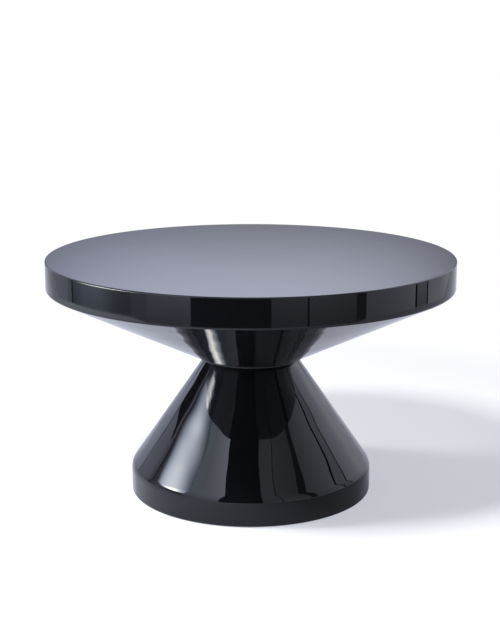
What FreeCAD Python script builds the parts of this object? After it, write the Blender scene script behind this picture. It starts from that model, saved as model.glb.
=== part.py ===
"""A round cocktail table: a lacquered hourglass of three moulded shells over a steel column.

The shells are bonded to wooden rings, a steel plate weighs the base down, and four levelling glides
that screw up into the base board carry it. Millimetres, +Z up, with the origin on the floor below
the middle of the top.
"""

import FreeCAD, Part
import os
import re

import Sketcher

# The driving dimensions, each with what it measures
SIZES = {
    # Outer form, stacked from the floor to the top
    "floor_gap": (1, "floor to the lower edge of the shell"),
    "band_height": (38, "upright band at the foot"),
    "lower_cone_height": (163.5, "band to the waist"),
    "waist_lip": (1.5, "upright lip above the waist seam"),
    "upper_cone_height": (108.5, "lip to the rim"),
    "rim_height": (41.5, "upright rim of the top"),
    "top_diameter": (600, "table top"),
    "waist_diameter": (156, "lip at the waist"),
    "base_diameter": (360, "foot of the table"),
    # Moulded shells
    "wall": (4, "thickness of the mouldings"),
    "neck_wall": (6, "thickness of the mouldings at the waist"),
    "neck_land": (12, "straight seat for the plug inside the lower shell"),
    "waist_setback": (10, "step in below the waist lip"),
    "rim_joint_rise": (6, "seam between top and cone, above the rim's lower edge"),
    "top_edge_radius": (2, "edge of the table top"),
    "rim_edge_radius": (3, "lower edge of the rim"),
    "lip_radius": (0.8, "corner above the waist lip"),
    "band_edge_radius": (20, "upper edge of the band"),
    "foot_edge_radius": (1.5, "lower edge of the band"),
    "glue_line": (0.3, "adhesive between bonded parts"),
    # Inside the top
    "core_thickness": (18, "board under the top skin"),
    "core_clearance": (1, "core to rim, all round"),
    "rim_ring_width": (30, "wooden ring in the rim's lower corner"),
    # Plug that lines up the two cones
    "plug_flange": (30, "ledge of the plug beyond its spigot"),
    "plug_edge": (6, "edge of that ledge"),
    # Column
    "column_diameter": (60, "steel tube"),
    "column_wall": (3, "its wall"),
    "column_clearance": (0.3, "tube to plug"),
    "flange_diameter": (220, "plate on the tube's upper end"),
    "flange_thickness": (6, "its thickness"),
    "end_plug_height": (20, "threaded plug in the tube's lower end"),
    "end_plug_clearance": (0.1, "threaded plug to tube"),
    # Base
    "board_thickness": (15, "board that closes the base"),
    "board_clearance": (1, "board to shell, all round"),
    "base_ring_height": (20, "wooden ring above the board"),
    "ring_land": (22, "ring inside the circle of the glides"),
    "ballast_thickness": (12, "steel plate"),
    "ballast_clearance": (4, "plate to ring, all round"),
    # Bolt that holds the column to the plate
    "bolt_diameter": (12, "column bolt"),
    "bolt_head_width": (19, "across flats"),
    "bolt_head_height": (7.5, "its head"),
    "bolt_engagement": (17, "thread inside the end plug"),
    "washer_diameter": (37, "under its head"),
    "washer_thickness": (3, "under its head"),
    "access_clearance": (4, "opening in the board round that washer"),
    # Bolts that hold the plate to the board
    "ballast_bolt_count": (4, "bolts"),
    "ballast_bolt_diameter": (8, "bolt"),
    "ballast_bolt_head_width": (13, "across flats"),
    "ballast_bolt_head_height": (5.3, "its head"),
    "ballast_bolt_inset": (28, "plate's edge to the circle of bolts"),
    "ballast_bolt_tip": (1, "end of the bolt below the plate's upper face"),
    "ballast_washer_diameter": (24, "under its head"),
    "ballast_washer_thickness": (2, "under its head"),
    # Wood screws
    "flange_screw_count": (6, "column flange to core"),
    "flange_screw_diameter": (5, "shank"),
    "flange_screw_head_diameter": (10, "head"),
    "flange_screw_head_height": (3, "head"),
    "flange_screw_bite": (12, "thread in the core"),
    "flange_screw_inset": (20, "flange's edge to the circle of screws"),
    "board_screw_count": (8, "board to base ring"),
    "board_screw_diameter": (4.5, "shank"),
    "board_screw_head_diameter": (9, "countersunk head"),
    "board_screw_bite": (15, "thread in the ring"),
    # Levelling glides
    "foot_diameter": (32, "foot"),
    "foot_taper": (3, "foot's edge to its upper face"),
    "foot_floor": (1.8, "foot below the stem's button"),
    "foot_cap": (1.8, "foot above the stem's button"),
    "foot_clearance": (6, "foot to shell"),
    "sole_thickness": (2, "pad under the foot"),
    "sole_inset": (2, "foot's edge to the pad's edge"),
    "stem_diameter": (8, "threaded stem"),
    "stem_chamfer": (1, "its upper end"),
    "button_diameter": (12, "head that the foot swivels on"),
    "button_height": (2, "its height"),
    "stem_neck_diameter": (7, "between button and collar"),
    "collar_width": (13, "hexagon for the spanner, across flats"),
    "collar_height": (4, "its height"),
    "glide_travel": (10, "how far a glide screws out"),
    "insert_wall": (1.5, "threaded insert round the stem"),
    "insert_length": (12, "its barrel inside the board"),
    "insert_flange_diameter": (22, "its flange under the board"),
    "insert_flange_thickness": (1.5, "its flange"),
    # Clearances of what turns, slides and screws
    "swivel_gap": (0.2, "stem's button in the foot"),
    "stop_gap": (0.3, "collar to insert with the glide screwed home"),
    "thread_clearance": (0.1, "screw to its thread"),
    "hole_clearance": (0.5, "screw or insert to a plain hole"),
}

# Where things stand round the axis, in degrees: the first of each circle, and every glide
GLIDE_ANGLES = {1: 45, 2: 135, 3: 225, 4: 315}
GLIDE_COUNT = str(len(GLIDE_ANGLES))
FIRST_GLIDE = GLIDE_ANGLES[1]
FIRST_BOARD_SCREW = 22.5

# Heights above the floor
BAND_TOP = "(floor_gap + band_height)"
WAIST = f"({BAND_TOP} + lower_cone_height)"
LIP_TOP = f"({WAIST} + waist_lip)"
NECK_FLOOR = f"({WAIST} + neck_wall)"
RIM_BOTTOM = f"({LIP_TOP} + upper_cone_height)"
RIM_JOINT = f"({RIM_BOTTOM} + rim_joint_rise)"
TOP = f"({RIM_BOTTOM} + rim_height)"
CORE_TOP = f"({TOP} - wall)"
CORE_BOTTOM = f"({CORE_TOP} - core_thickness)"
FLANGE_BOTTOM = f"({CORE_BOTTOM} - flange_thickness)"

BUTTON_BOTTOM = "(sole_thickness + foot_floor + swivel_gap)"
BUTTON_TOP = f"({BUTTON_BOTTOM} + button_height)"
FOOT_TOP = f"({BUTTON_TOP} + swivel_gap + foot_cap)"
COLLAR_BOTTOM = f"({FOOT_TOP} + swivel_gap)"
COLLAR_TOP = f"({COLLAR_BOTTOM} + collar_height)"
BOARD_BOTTOM = f"({COLLAR_TOP} + stop_gap + insert_flange_thickness)"
INSERT_TOP = f"({BOARD_BOTTOM} + insert_length)"
STEM_TOP = f"({INSERT_TOP} + glide_travel)"
BOARD_TOP = f"({BOARD_BOTTOM} + board_thickness)"
RING_TOP = f"({BOARD_TOP} + base_ring_height)"
BALLAST_TOP = f"({BOARD_TOP} + ballast_thickness)"

# Radii from the table's axis
TOP_RADIUS = "(top_diameter / 2)"
RIM_INSIDE = f"({TOP_RADIUS} - wall)"
WAIST_RADIUS = "(waist_diameter / 2)"
NECK_RADIUS = f"({WAIST_RADIUS} - waist_setback - neck_wall)"
SPIGOT_RADIUS = f"({NECK_RADIUS} - glue_line)"
BASE_RADIUS = "(base_diameter / 2)"
BAND_INSIDE = f"({BASE_RADIUS} - wall)"
COLUMN_RADIUS = "(column_diameter / 2)"
GLIDE_RADIUS = f"({BAND_INSIDE} - foot_clearance - foot_diameter / 2)"
RING_INSIDE = f"({GLIDE_RADIUS} - ring_land)"
BALLAST_RADIUS = f"({RING_INSIDE} - ballast_clearance)"
BALLAST_BOLT_RADIUS = f"({BALLAST_RADIUS} - ballast_bolt_inset)"
FLANGE_SCREW_RADIUS = "(flange_diameter / 2 - flange_screw_inset)"

# Radii from the axis of a screw, a bolt or a glide
BOLT_RADIUS = "(bolt_diameter / 2)"
BALLAST_BOLT_SHANK = "(ballast_bolt_diameter / 2)"
FLANGE_SCREW_SHANK = "(flange_screw_diameter / 2)"
BOARD_SCREW_SHANK = "(board_screw_diameter / 2)"
BOARD_SCREW_HEAD = "(board_screw_head_diameter / 2)"
STEM_RADIUS = "(stem_diameter / 2)"
INSERT_BORE = f"({STEM_RADIUS} + thread_clearance)"
INSERT_BARREL = f"({INSERT_BORE} + insert_wall)"
FOOT_RADIUS = "(foot_diameter / 2)"
BUTTON_RADIUS = "(button_diameter / 2)"
STEM_NECK = "(stem_neck_diameter / 2)"

# Rise per millimetre outwards of the upper cone, and spread per millimetre down of the lower one
UPPER_RISE = f"(upper_cone_height / ({TOP_RADIUS} - {WAIST_RADIUS}))"
LOWER_SPREAD = f"(({BASE_RADIUS} - {WAIST_RADIUS} + waist_setback) / lower_cone_height)"


def inside_upper_cone(radius, gap="0"):
    """Height of the upper cone's inner face at a radius, or of a face lying a gap above it."""
    outer_face = f"{RIM_BOTTOM} - ({TOP_RADIUS} - {radius}) * {UPPER_RISE}"
    return f"({outer_face} + (wall + {gap}) * sqrt(1 + {UPPER_RISE}^2))"


def reach_in_upper_cone(height, gap="0"):
    """Radius where the upper cone's inner face, or a face lying a gap above it, has a height."""
    fall = f"({RIM_BOTTOM} + (wall + {gap}) * sqrt(1 + {UPPER_RISE}^2) - {height})"
    return f"({TOP_RADIUS} - {fall} / {UPPER_RISE})"


def inside_lower_cone(height, gap="0"):
    """Radius of the lower cone's inner face at a height, or of a face lying a gap inside it."""
    outer_face = f"{BASE_RADIUS} - ({height} - {BAND_TOP}) * {LOWER_SPREAD}"
    return f"({outer_face} - (wall + {gap}) * sqrt(1 + {LOWER_SPREAD}^2))"


def inside_base(height, gap):
    """Radius of what fits inside the lower shell at a height, band or cone, with a gap."""
    return f"min({BAND_INSIDE} - {gap}; {inside_lower_cone(height, gap)})"


doc = FreeCAD.newDocument("cocktail_table")
sheet = doc.addObject("Spreadsheet::Sheet", "Sizes")
for row, (alias, (size, meaning)) in enumerate(SIZES.items(), start=1):
    sheet.set(f"A{row}", alias)
    sheet.set(f"B{row}", str(size))
    sheet.setAlias(f"B{row}", alias)
    sheet.set(f"C{row}", meaning)
doc.recompute()

parts = []


def formula(text):
    """The text with each size's name pointing at its cell."""
    return re.sub(r"[a-z_]+", lambda word: f"Sizes.{word[0]}" if word[0] in SIZES else word[0], text)


def value(text):
    """What a formula comes to now."""
    return float(sheet.evalExpression(formula(text)))


def new_part(label):
    """An empty body that becomes one of the table's pieces."""
    body = doc.addObject("PartDesign::Body", label)
    body.Label = label
    parts.append(body)
    return body


def origin_feature(body, role):
    """One of the body's own planes or axes."""
    return next(feature for feature in body.Origin.OriginFeatures if feature.Role == role)


def new_sketch(body, name, plane, height="0"):
    """A sketch on one of the body's planes, raised along the plane's normal."""
    sketch = body.newObject("Sketcher::SketchObject", name)
    sketch.AttachmentSupport = [(origin_feature(body, plane), "")]
    sketch.MapMode = "FlatFace"
    if height != "0":
        sketch.setExpression("AttachmentOffset.Base.z", formula(height))
    return sketch


def pin_down(sketch, line, corner):
    """Tie the first end of a line to its distances from the sketch's origin."""
    origin, horizontal_axis, vertical_axis = -1, -1, -2
    for kind, zero_axis, text in zip(("DistanceX", "DistanceY"), (vertical_axis, horizontal_axis), corner):
        if text == "0":
            sketch.addConstraint(Sketcher.Constraint("PointOnObject", line, 1, zero_axis))
        else:
            number = sketch.addConstraint(Sketcher.Constraint(kind, origin, 1, line, 1, value(text)))
            sketch.setExpression(f"Constraints[{number}]", formula(text))


def draw_outline(sketch, corners):
    """A closed run of straight lines through corners given as pairs of formulas."""
    places = [FreeCAD.Vector(value(across), value(up), 0) for across, up in corners]
    for line, place in enumerate(places):
        following = (line + 1) % len(places)
        sketch.addGeometry(Part.LineSegment(place, places[following]))
    for line, corner in enumerate(corners):
        following = (line + 1) % len(places)
        sketch.addConstraint(Sketcher.Constraint("Coincident", line, 2, following, 1))
        pin_down(sketch, line, corner)


def draw_axis(sketch, across):
    """An upright construction line that a profile away from the origin turns about."""
    foot = FreeCAD.Vector(value(across), 0, 0)
    line = sketch.addGeometry(Part.LineSegment(foot, foot + FreeCAD.Vector(0, 1, 0)), True)
    pin_down(sketch, line, (across, "0"))
    sketch.addConstraint(Sketcher.Constraint("Vertical", line))
    sketch.addConstraint(Sketcher.Constraint("DistanceY", line, 1, line, 2, 1.0))


def turn(body, name, profile, axis_at="0", angle=0, cut=False):
    """Turn a profile of radii and heights about an upright axis, as solid or as a cut.

    The axis stands at a radius and an angle from the table's own.
    """
    sketch = new_sketch(body, f"{name}_profile", "XZ_Plane")
    upright = FreeCAD.Vector(0, 1, 0)
    sketch.AttachmentOffset = FreeCAD.Placement(FreeCAD.Vector(), FreeCAD.Rotation(upright, angle))
    if axis_at == "0":
        draw_outline(sketch, profile)
        axis = "V_Axis"
    else:
        shifted = [(axis_at if radius == "0" else f"({axis_at} + {radius})", up) for radius, up in profile]
        draw_outline(sketch, shifted)
        draw_axis(sketch, axis_at)
        axis = "Axis0"
    doc.recompute()
    before = body.Shape.Volume if cut else 0
    feature = body.newObject("PartDesign::Groove" if cut else "PartDesign::Revolution", name)
    feature.Profile = sketch
    feature.ReferenceAxis = (sketch, [axis])
    feature.Angle = 360
    doc.recompute()
    if cut and not feature.Shape.Volume < before:
        raise RuntimeError(f"{name} cuts nothing")
    return feature


def cylinder(radius, bottom, top):
    """Profile of a plain cylinder on its axis."""
    return [("0", bottom), (radius, bottom), (radius, top), ("0", top)]


def tube(inside, outside, bottom, top):
    """Profile of a plain ring."""
    return [(inside, bottom), (outside, bottom), (outside, top), (inside, top)]


def drill(body, name, radius, bottom, top, axis_at="0", angle=0):
    """A round hole between two heights."""
    return turn(body, name, cylinder(radius, bottom, top), axis_at, angle, cut=True)


def hexagon(body, name, width, bottom, height, axis_at="0"):
    """A six-sided head, its width measured across the flats."""
    sketch = new_sketch(body, f"{name}_outline", "XY_Plane", bottom)
    corners = []
    for angle in range(0, 360, 60):
        across = f"({axis_at} + {width} / sqrt(3) * cos({angle}))"
        along = "0" if angle % 180 == 0 else f"({width} / sqrt(3) * sin({angle}))"
        corners.append((across, along))
    draw_outline(sketch, corners)
    head = body.newObject("PartDesign::Pad", name)
    head.Profile = sketch
    head.setExpression("Length", formula(height))
    doc.recompute()
    return head


def repeat(body, name, features, count):
    """Copies of features evenly round the table's axis."""
    pattern = body.newObject("PartDesign::PolarPattern", name)
    pattern.Originals = features
    pattern.Axis = (origin_feature(body, "Z_Axis"), [""])
    pattern.Angle = 360
    pattern.setExpression("Occurrences", formula(count))
    body.Tip = pattern
    doc.recompute()


def round_edge(body, name, edge_radius, radius, height):
    """Round the circular edge that lies at a radius and a height."""
    base = body.Tip
    centre = FreeCAD.Vector(0, 0, value(height))
    names = []
    for number, edge in enumerate(base.Shape.Edges, start=1):
        curve = edge.Curve
        if isinstance(curve, Part.Circle) and abs(curve.Radius - value(radius)) < 1e-6:
            if curve.Center.distanceToPoint(centre) < 1e-6:
                names.append(f"Edge{number}")
    if not names:
        raise RuntimeError(f"{name} finds no edge")
    rounding = body.newObject("PartDesign::Fillet", name)
    rounding.Base = (base, names)
    rounding.setExpression("Radius", formula(edge_radius))
    doc.recompute()


def stand_at(body, radius, angle):
    """Stand a part that was made on the table's axis at a radius and an angle."""
    body.setExpression("Placement.Base.x", formula(f"{radius} * cos({angle})"))
    body.setExpression("Placement.Base.y", formula(f"{radius} * sin({angle})"))
    doc.recompute()


def tabletop_pan():
    """Moulded tray, upside down: the top skin with its rim."""
    body = new_part("tabletop_pan")
    turn(body, "pan", [
        ("0", TOP),
        (TOP_RADIUS, TOP),
        (TOP_RADIUS, RIM_JOINT),
        (RIM_INSIDE, RIM_JOINT),
        (RIM_INSIDE, CORE_TOP),
        ("0", CORE_TOP),
    ])
    round_edge(body, "pan_edge", "top_edge_radius", TOP_RADIUS, TOP)


def tabletop_core():
    """Board bonded under the top skin, drilled for the flange screws."""
    body = new_part("tabletop_core")
    turn(body, "core", cylinder(f"({RIM_INSIDE} - core_clearance)", CORE_BOTTOM, CORE_TOP))
    hole = drill(
        body,
        "core_hole",
        "(flange_screw_diameter / 2 + thread_clearance)",
        CORE_BOTTOM,
        f"({CORE_BOTTOM} + flange_screw_bite + thread_clearance)",
        FLANGE_SCREW_RADIUS,
    )
    repeat(body, "core_holes", [hole], "flange_screw_count")


def rim_ring():
    """Wooden ring that ties the cone's upper edge to the core, bevelled to the cone."""
    body = new_part("rim_ring")
    outside = f"({RIM_INSIDE} - glue_line)"
    inside = f"({outside} - rim_ring_width)"
    turn(body, "ring", [
        (outside, inside_upper_cone(outside, "glue_line")),
        (outside, CORE_BOTTOM),
        (inside, CORE_BOTTOM),
        (inside, inside_upper_cone(inside, "glue_line")),
    ])


def upper_cone_shell():
    """Moulding from the rim's lower edge down to the waist lip."""
    body = new_part("upper_cone_shell")
    turn(body, "cone", [
        (TOP_RADIUS, RIM_JOINT),
        (TOP_RADIUS, RIM_BOTTOM),
        (WAIST_RADIUS, LIP_TOP),
        (WAIST_RADIUS, WAIST),
        (NECK_RADIUS, WAIST),
        (NECK_RADIUS, NECK_FLOOR),
        (reach_in_upper_cone(NECK_FLOOR), NECK_FLOOR),
        (RIM_INSIDE, inside_upper_cone(RIM_INSIDE)),
        (RIM_INSIDE, RIM_JOINT),
    ])
    round_edge(body, "rim_edge", "rim_edge_radius", TOP_RADIUS, RIM_BOTTOM)
    round_edge(body, "lip_corner", "lip_radius", WAIST_RADIUS, LIP_TOP)


def waist_plug():
    """Turned wooden plug: its ledge lies in the upper cone, its spigot in the lower one's neck."""
    body = new_part("waist_plug")
    bore = f"({COLUMN_RADIUS} + column_clearance)"
    ledge = f"({SPIGOT_RADIUS} + plug_flange)"
    spigot_end = f"({WAIST} - neck_land)"
    seat = f"({NECK_FLOOR} + glue_line)"
    ledge_bottom = inside_upper_cone(ledge, "glue_line")
    ledge_top = f"({ledge_bottom} + plug_edge)"
    turn(body, "plug", [
        (bore, spigot_end),
        (SPIGOT_RADIUS, spigot_end),
        (SPIGOT_RADIUS, seat),
        (reach_in_upper_cone(seat, "glue_line"), seat),
        (ledge, ledge_bottom),
        (ledge, ledge_top),
        (bore, ledge_top),
    ])


def lower_shell():
    """Moulding from the waist seam down to the foot, cone and band in one."""
    body = new_part("lower_shell")
    land_end = f"({WAIST} - neck_land)"
    inner_corner = f"({BAND_TOP} - wall * (sqrt(1 + {LOWER_SPREAD}^2) - 1) / {LOWER_SPREAD})"
    turn(body, "shell", [
        (f"({WAIST_RADIUS} - waist_setback)", WAIST),
        (BASE_RADIUS, BAND_TOP),
        (BASE_RADIUS, "floor_gap"),
        (BAND_INSIDE, "floor_gap"),
        (BAND_INSIDE, inner_corner),
        (inside_lower_cone(land_end), land_end),
        (NECK_RADIUS, land_end),
        (NECK_RADIUS, WAIST),
    ])
    round_edge(body, "band_edge", "band_edge_radius", BASE_RADIUS, BAND_TOP)
    round_edge(body, "foot_edge", "foot_edge_radius", BASE_RADIUS, "floor_gap")


def base_ring():
    """Wooden ring bonded inside the foot, drilled for the glide stems and the board screws."""
    body = new_part("base_ring")
    turn(body, "ring", [
        (RING_INSIDE, BOARD_TOP),
        (inside_base(BOARD_TOP, "glue_line"), BOARD_TOP),
        (inside_base(RING_TOP, "glue_line"), RING_TOP),
        (RING_INSIDE, RING_TOP),
    ])
    stem_room = f"({INSERT_BARREL} + hole_clearance)"
    stem_hole = drill(body, "stem_hole", stem_room, BOARD_TOP, RING_TOP, GLIDE_RADIUS, FIRST_GLIDE)
    repeat(body, "stem_holes", [stem_hole], GLIDE_COUNT)
    thread = f"({BOARD_SCREW_SHANK} + thread_clearance)"
    screw_hole = drill(body, "screw_hole", thread, BOARD_TOP, RING_TOP, GLIDE_RADIUS, FIRST_BOARD_SCREW)
    repeat(body, "screw_holes", [screw_hole], "board_screw_count")


def base_board():
    """Board that closes the base and carries the plate, with an opening for the column bolt."""
    body = new_part("base_board")
    opening = "(washer_diameter / 2 + access_clearance)"
    turn(body, "board", tube(opening, inside_base(BOARD_TOP, "board_clearance"), BOARD_BOTTOM, BOARD_TOP))
    seat = f"({INSERT_BARREL} + thread_clearance)"
    insert_hole = drill(body, "insert_hole", seat, BOARD_BOTTOM, BOARD_TOP, GLIDE_RADIUS, FIRST_GLIDE)
    repeat(body, "insert_holes", [insert_hole], GLIDE_COUNT)
    bolt_room = f"({BALLAST_BOLT_SHANK} + hole_clearance)"
    bolt_hole = drill(body, "bolt_hole", bolt_room, BOARD_BOTTOM, BOARD_TOP, BALLAST_BOLT_RADIUS)
    repeat(body, "bolt_holes", [bolt_hole], "ballast_bolt_count")
    sink = f"({BOARD_SCREW_HEAD} + thread_clearance)"
    screw_room = f"({BOARD_SCREW_SHANK} + hole_clearance)"
    countersunk = [
        ("0", BOARD_BOTTOM),
        (sink, BOARD_BOTTOM),
        (screw_room, f"({BOARD_BOTTOM} + {sink} - {screw_room})"),
        (screw_room, BOARD_TOP),
        ("0", BOARD_TOP),
    ]
    screw_hole = turn(body, "screw_hole", countersunk, GLIDE_RADIUS, FIRST_BOARD_SCREW, cut=True)
    repeat(body, "screw_holes", [screw_hole], "board_screw_count")


def base_board_screws():
    """Countersunk wood screws up through the board into the base ring."""
    body = new_part("base_board_screws")
    tip = f"({BOARD_TOP} + board_screw_bite)"
    screw = turn(body, "screw", [
        ("0", BOARD_BOTTOM),
        (BOARD_SCREW_HEAD, BOARD_BOTTOM),
        (BOARD_SCREW_SHANK, f"({BOARD_BOTTOM} + {BOARD_SCREW_HEAD} - {BOARD_SCREW_SHANK})"),
        (BOARD_SCREW_SHANK, f"({tip} - board_screw_diameter)"),
        ("0", tip),
    ], GLIDE_RADIUS, FIRST_BOARD_SCREW)
    repeat(body, "screws", [screw], "board_screw_count")


def ballast_plate():
    """Steel plate on the board that the column stands on."""
    body = new_part("ballast_plate")
    bolt_room = f"({BOLT_RADIUS} + hole_clearance)"
    turn(body, "plate", tube(bolt_room, BALLAST_RADIUS, BOARD_TOP, BALLAST_TOP))
    thread = f"({BALLAST_BOLT_SHANK} + thread_clearance)"
    hole = drill(body, "bolt_hole", thread, BOARD_TOP, BALLAST_TOP, BALLAST_BOLT_RADIUS)
    repeat(body, "bolt_holes", [hole], "ballast_bolt_count")


def ballast_bolts():
    """Hexagon bolts up through the board into the plate."""
    body = new_part("ballast_bolts")
    head_top = f"({BOARD_BOTTOM} - ballast_washer_thickness)"
    shank_end = f"({BALLAST_TOP} - ballast_bolt_tip)"
    head_bottom = f"({head_top} - ballast_bolt_head_height)"
    shank = turn(body, "shank", cylinder(BALLAST_BOLT_SHANK, head_bottom, shank_end), BALLAST_BOLT_RADIUS)
    head = hexagon(
        body, "head", "ballast_bolt_head_width", head_bottom, "ballast_bolt_head_height", BALLAST_BOLT_RADIUS
    )
    repeat(body, "bolts", [shank, head], "ballast_bolt_count")


def ballast_washers():
    """Washers between those bolts and the board."""
    body = new_part("ballast_washers")
    bolt_room = f"({BALLAST_BOLT_SHANK} + hole_clearance)"
    bottom = f"({BOARD_BOTTOM} - ballast_washer_thickness)"
    ring = tube(bolt_room, "(ballast_washer_diameter / 2)", bottom, BOARD_BOTTOM)
    washer = turn(body, "washer", ring, BALLAST_BOLT_RADIUS)
    repeat(body, "washers", [washer], "ballast_bolt_count")


def column_tube():
    """Steel tube from the plate up to its flange."""
    body = new_part("column_tube")
    turn(body, "tube", tube(f"({COLUMN_RADIUS} - column_wall)", COLUMN_RADIUS, BALLAST_TOP, FLANGE_BOTTOM))


def column_top_flange():
    """Steel plate welded on the tube, drilled for the screws into the core."""
    body = new_part("column_top_flange")
    turn(body, "flange", cylinder("(flange_diameter / 2)", FLANGE_BOTTOM, CORE_BOTTOM))
    screw_room = f"({FLANGE_SCREW_SHANK} + hole_clearance)"
    hole = drill(body, "screw_hole", screw_room, FLANGE_BOTTOM, CORE_BOTTOM, FLANGE_SCREW_RADIUS)
    repeat(body, "screw_holes", [hole], "flange_screw_count")


def flange_screws():
    """Pan-head wood screws up through the flange into the core."""
    body = new_part("flange_screws")
    head = "(flange_screw_head_diameter / 2)"
    head_bottom = f"({FLANGE_BOTTOM} - flange_screw_head_height)"
    tip = f"({CORE_BOTTOM} + flange_screw_bite)"
    screw = turn(body, "screw", [
        ("0", head_bottom),
        (head, head_bottom),
        (head, FLANGE_BOTTOM),
        (FLANGE_SCREW_SHANK, FLANGE_BOTTOM),
        (FLANGE_SCREW_SHANK, f"({tip} - flange_screw_diameter)"),
        ("0", tip),
    ], FLANGE_SCREW_RADIUS)
    repeat(body, "screws", [screw], "flange_screw_count")


def column_end_plug():
    """Threaded steel plug welded into the tube's lower end."""
    body = new_part("column_end_plug")
    outside = f"({COLUMN_RADIUS} - column_wall - end_plug_clearance)"
    thread = f"({BOLT_RADIUS} + thread_clearance)"
    turn(body, "plug", tube(thread, outside, BALLAST_TOP, f"({BALLAST_TOP} + end_plug_height)"))


def column_bolt():
    """Hexagon bolt up through the plate into the column's end plug."""
    body = new_part("column_bolt")
    head_top = f"({BOARD_TOP} - washer_thickness)"
    head_bottom = f"({head_top} - bolt_head_height)"
    turn(body, "shank", cylinder(BOLT_RADIUS, head_bottom, f"({BALLAST_TOP} + bolt_engagement)"))
    hexagon(body, "head", "bolt_head_width", head_bottom, "bolt_head_height")


def column_washer():
    """Washer between that bolt and the plate."""
    body = new_part("column_washer")
    bolt_room = f"({BOLT_RADIUS} + hole_clearance)"
    bottom = f"({BOARD_TOP} - washer_thickness)"
    turn(body, "washer", tube(bolt_room, "(washer_diameter / 2)", bottom, BOARD_TOP))


def glide_inserts():
    """Flanged inserts with an inner thread, pressed up into the board."""
    body = new_part("glide_inserts")
    flange = "(insert_flange_diameter / 2)"
    flange_bottom = f"({BOARD_BOTTOM} - insert_flange_thickness)"
    insert = turn(body, "insert", [
        (INSERT_BORE, flange_bottom),
        (flange, flange_bottom),
        (flange, BOARD_BOTTOM),
        (INSERT_BARREL, BOARD_BOTTOM),
        (INSERT_BARREL, INSERT_TOP),
        (INSERT_BORE, INSERT_TOP),
    ], GLIDE_RADIUS, FIRST_GLIDE)
    repeat(body, "inserts", [insert], GLIDE_COUNT)


def glide_stem(number, angle):
    """Threaded stem with a spanner collar, and the button that its foot swivels on."""
    body = new_part(f"glide_stem_{number}")
    turn(body, "stem", [
        ("0", BUTTON_BOTTOM),
        (BUTTON_RADIUS, BUTTON_BOTTOM),
        (BUTTON_RADIUS, BUTTON_TOP),
        (STEM_NECK, BUTTON_TOP),
        (STEM_NECK, COLLAR_BOTTOM),
        (STEM_RADIUS, COLLAR_BOTTOM),
        (STEM_RADIUS, f"({STEM_TOP} - stem_chamfer)"),
        (f"({STEM_RADIUS} - stem_chamfer)", STEM_TOP),
        ("0", STEM_TOP),
    ])
    hexagon(body, "collar", "collar_width", COLLAR_BOTTOM, "collar_height")
    stand_at(body, GLIDE_RADIUS, angle)


def glide_foot(number, angle):
    """Moulded foot, closed over the stem's button."""
    body = new_part(f"glide_foot_{number}")
    turn(body, "foot", [
        ("0", "sole_thickness"),
        (FOOT_RADIUS, "sole_thickness"),
        (FOOT_RADIUS, "(sole_thickness + foot_floor)"),
        (f"({FOOT_RADIUS} - foot_taper)", FOOT_TOP),
        (f"({STEM_NECK} + swivel_gap)", FOOT_TOP),
        (f"({STEM_NECK} + swivel_gap)", f"({BUTTON_TOP} + swivel_gap)"),
        (f"({BUTTON_RADIUS} + swivel_gap)", f"({BUTTON_TOP} + swivel_gap)"),
        (f"({BUTTON_RADIUS} + swivel_gap)", f"({BUTTON_BOTTOM} - swivel_gap)"),
        ("0", f"({BUTTON_BOTTOM} - swivel_gap)"),
    ])
    stand_at(body, GLIDE_RADIUS, angle)


def glide_sole(number, angle):
    """Pad under the foot, which stands on the floor."""
    body = new_part(f"glide_sole_{number}")
    turn(body, "sole", cylinder(f"({FOOT_RADIUS} - sole_inset)", "0", "sole_thickness"))
    stand_at(body, GLIDE_RADIUS, angle)


def check_and_write():
    """Stop at anything that failed to build, then write one file for each part."""
    doc.recompute()
    for item in doc.Objects:
        if "Invalid" in item.State or "Error" in item.State:
            raise RuntimeError(f"{item.Label} failed: {item.State}")
    for body in parts:
        if body.Shape.isNull() or not body.Shape.isValid():
            raise RuntimeError(f"{body.Label} has no valid shape")
    os.makedirs("parts", exist_ok=True)
    for body in parts:
        body.Shape.exportStep(f"parts/{body.Label}.step")
        print(f"{body.Label}: {len(body.Shape.Solids)} solid, {body.Shape.Volume / 1000:.1f} cm3")


tabletop_pan()
tabletop_core()
rim_ring()
upper_cone_shell()
waist_plug()
lower_shell()
base_ring()
base_board()
base_board_screws()
ballast_plate()
ballast_bolts()
ballast_washers()
column_tube()
column_top_flange()
flange_screws()
column_end_plug()
column_bolt()
column_washer()
glide_inserts()
for number, angle in GLIDE_ANGLES.items():
    glide_stem(number, angle)
    glide_foot(number, angle)
    glide_sole(number, angle)
check_and_write()
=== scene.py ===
"""Looks of a round cocktail table in black lacquer.

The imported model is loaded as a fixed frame. The moulded shells, the fasteners and the levelling glides
are turned from their outlines by one Geometry Nodes tree. The boards and the steel inside keep the
shape of their solids and get their finish here. Metres, in the frame's own axes.
"""

import math
from collections import namedtuple

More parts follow.
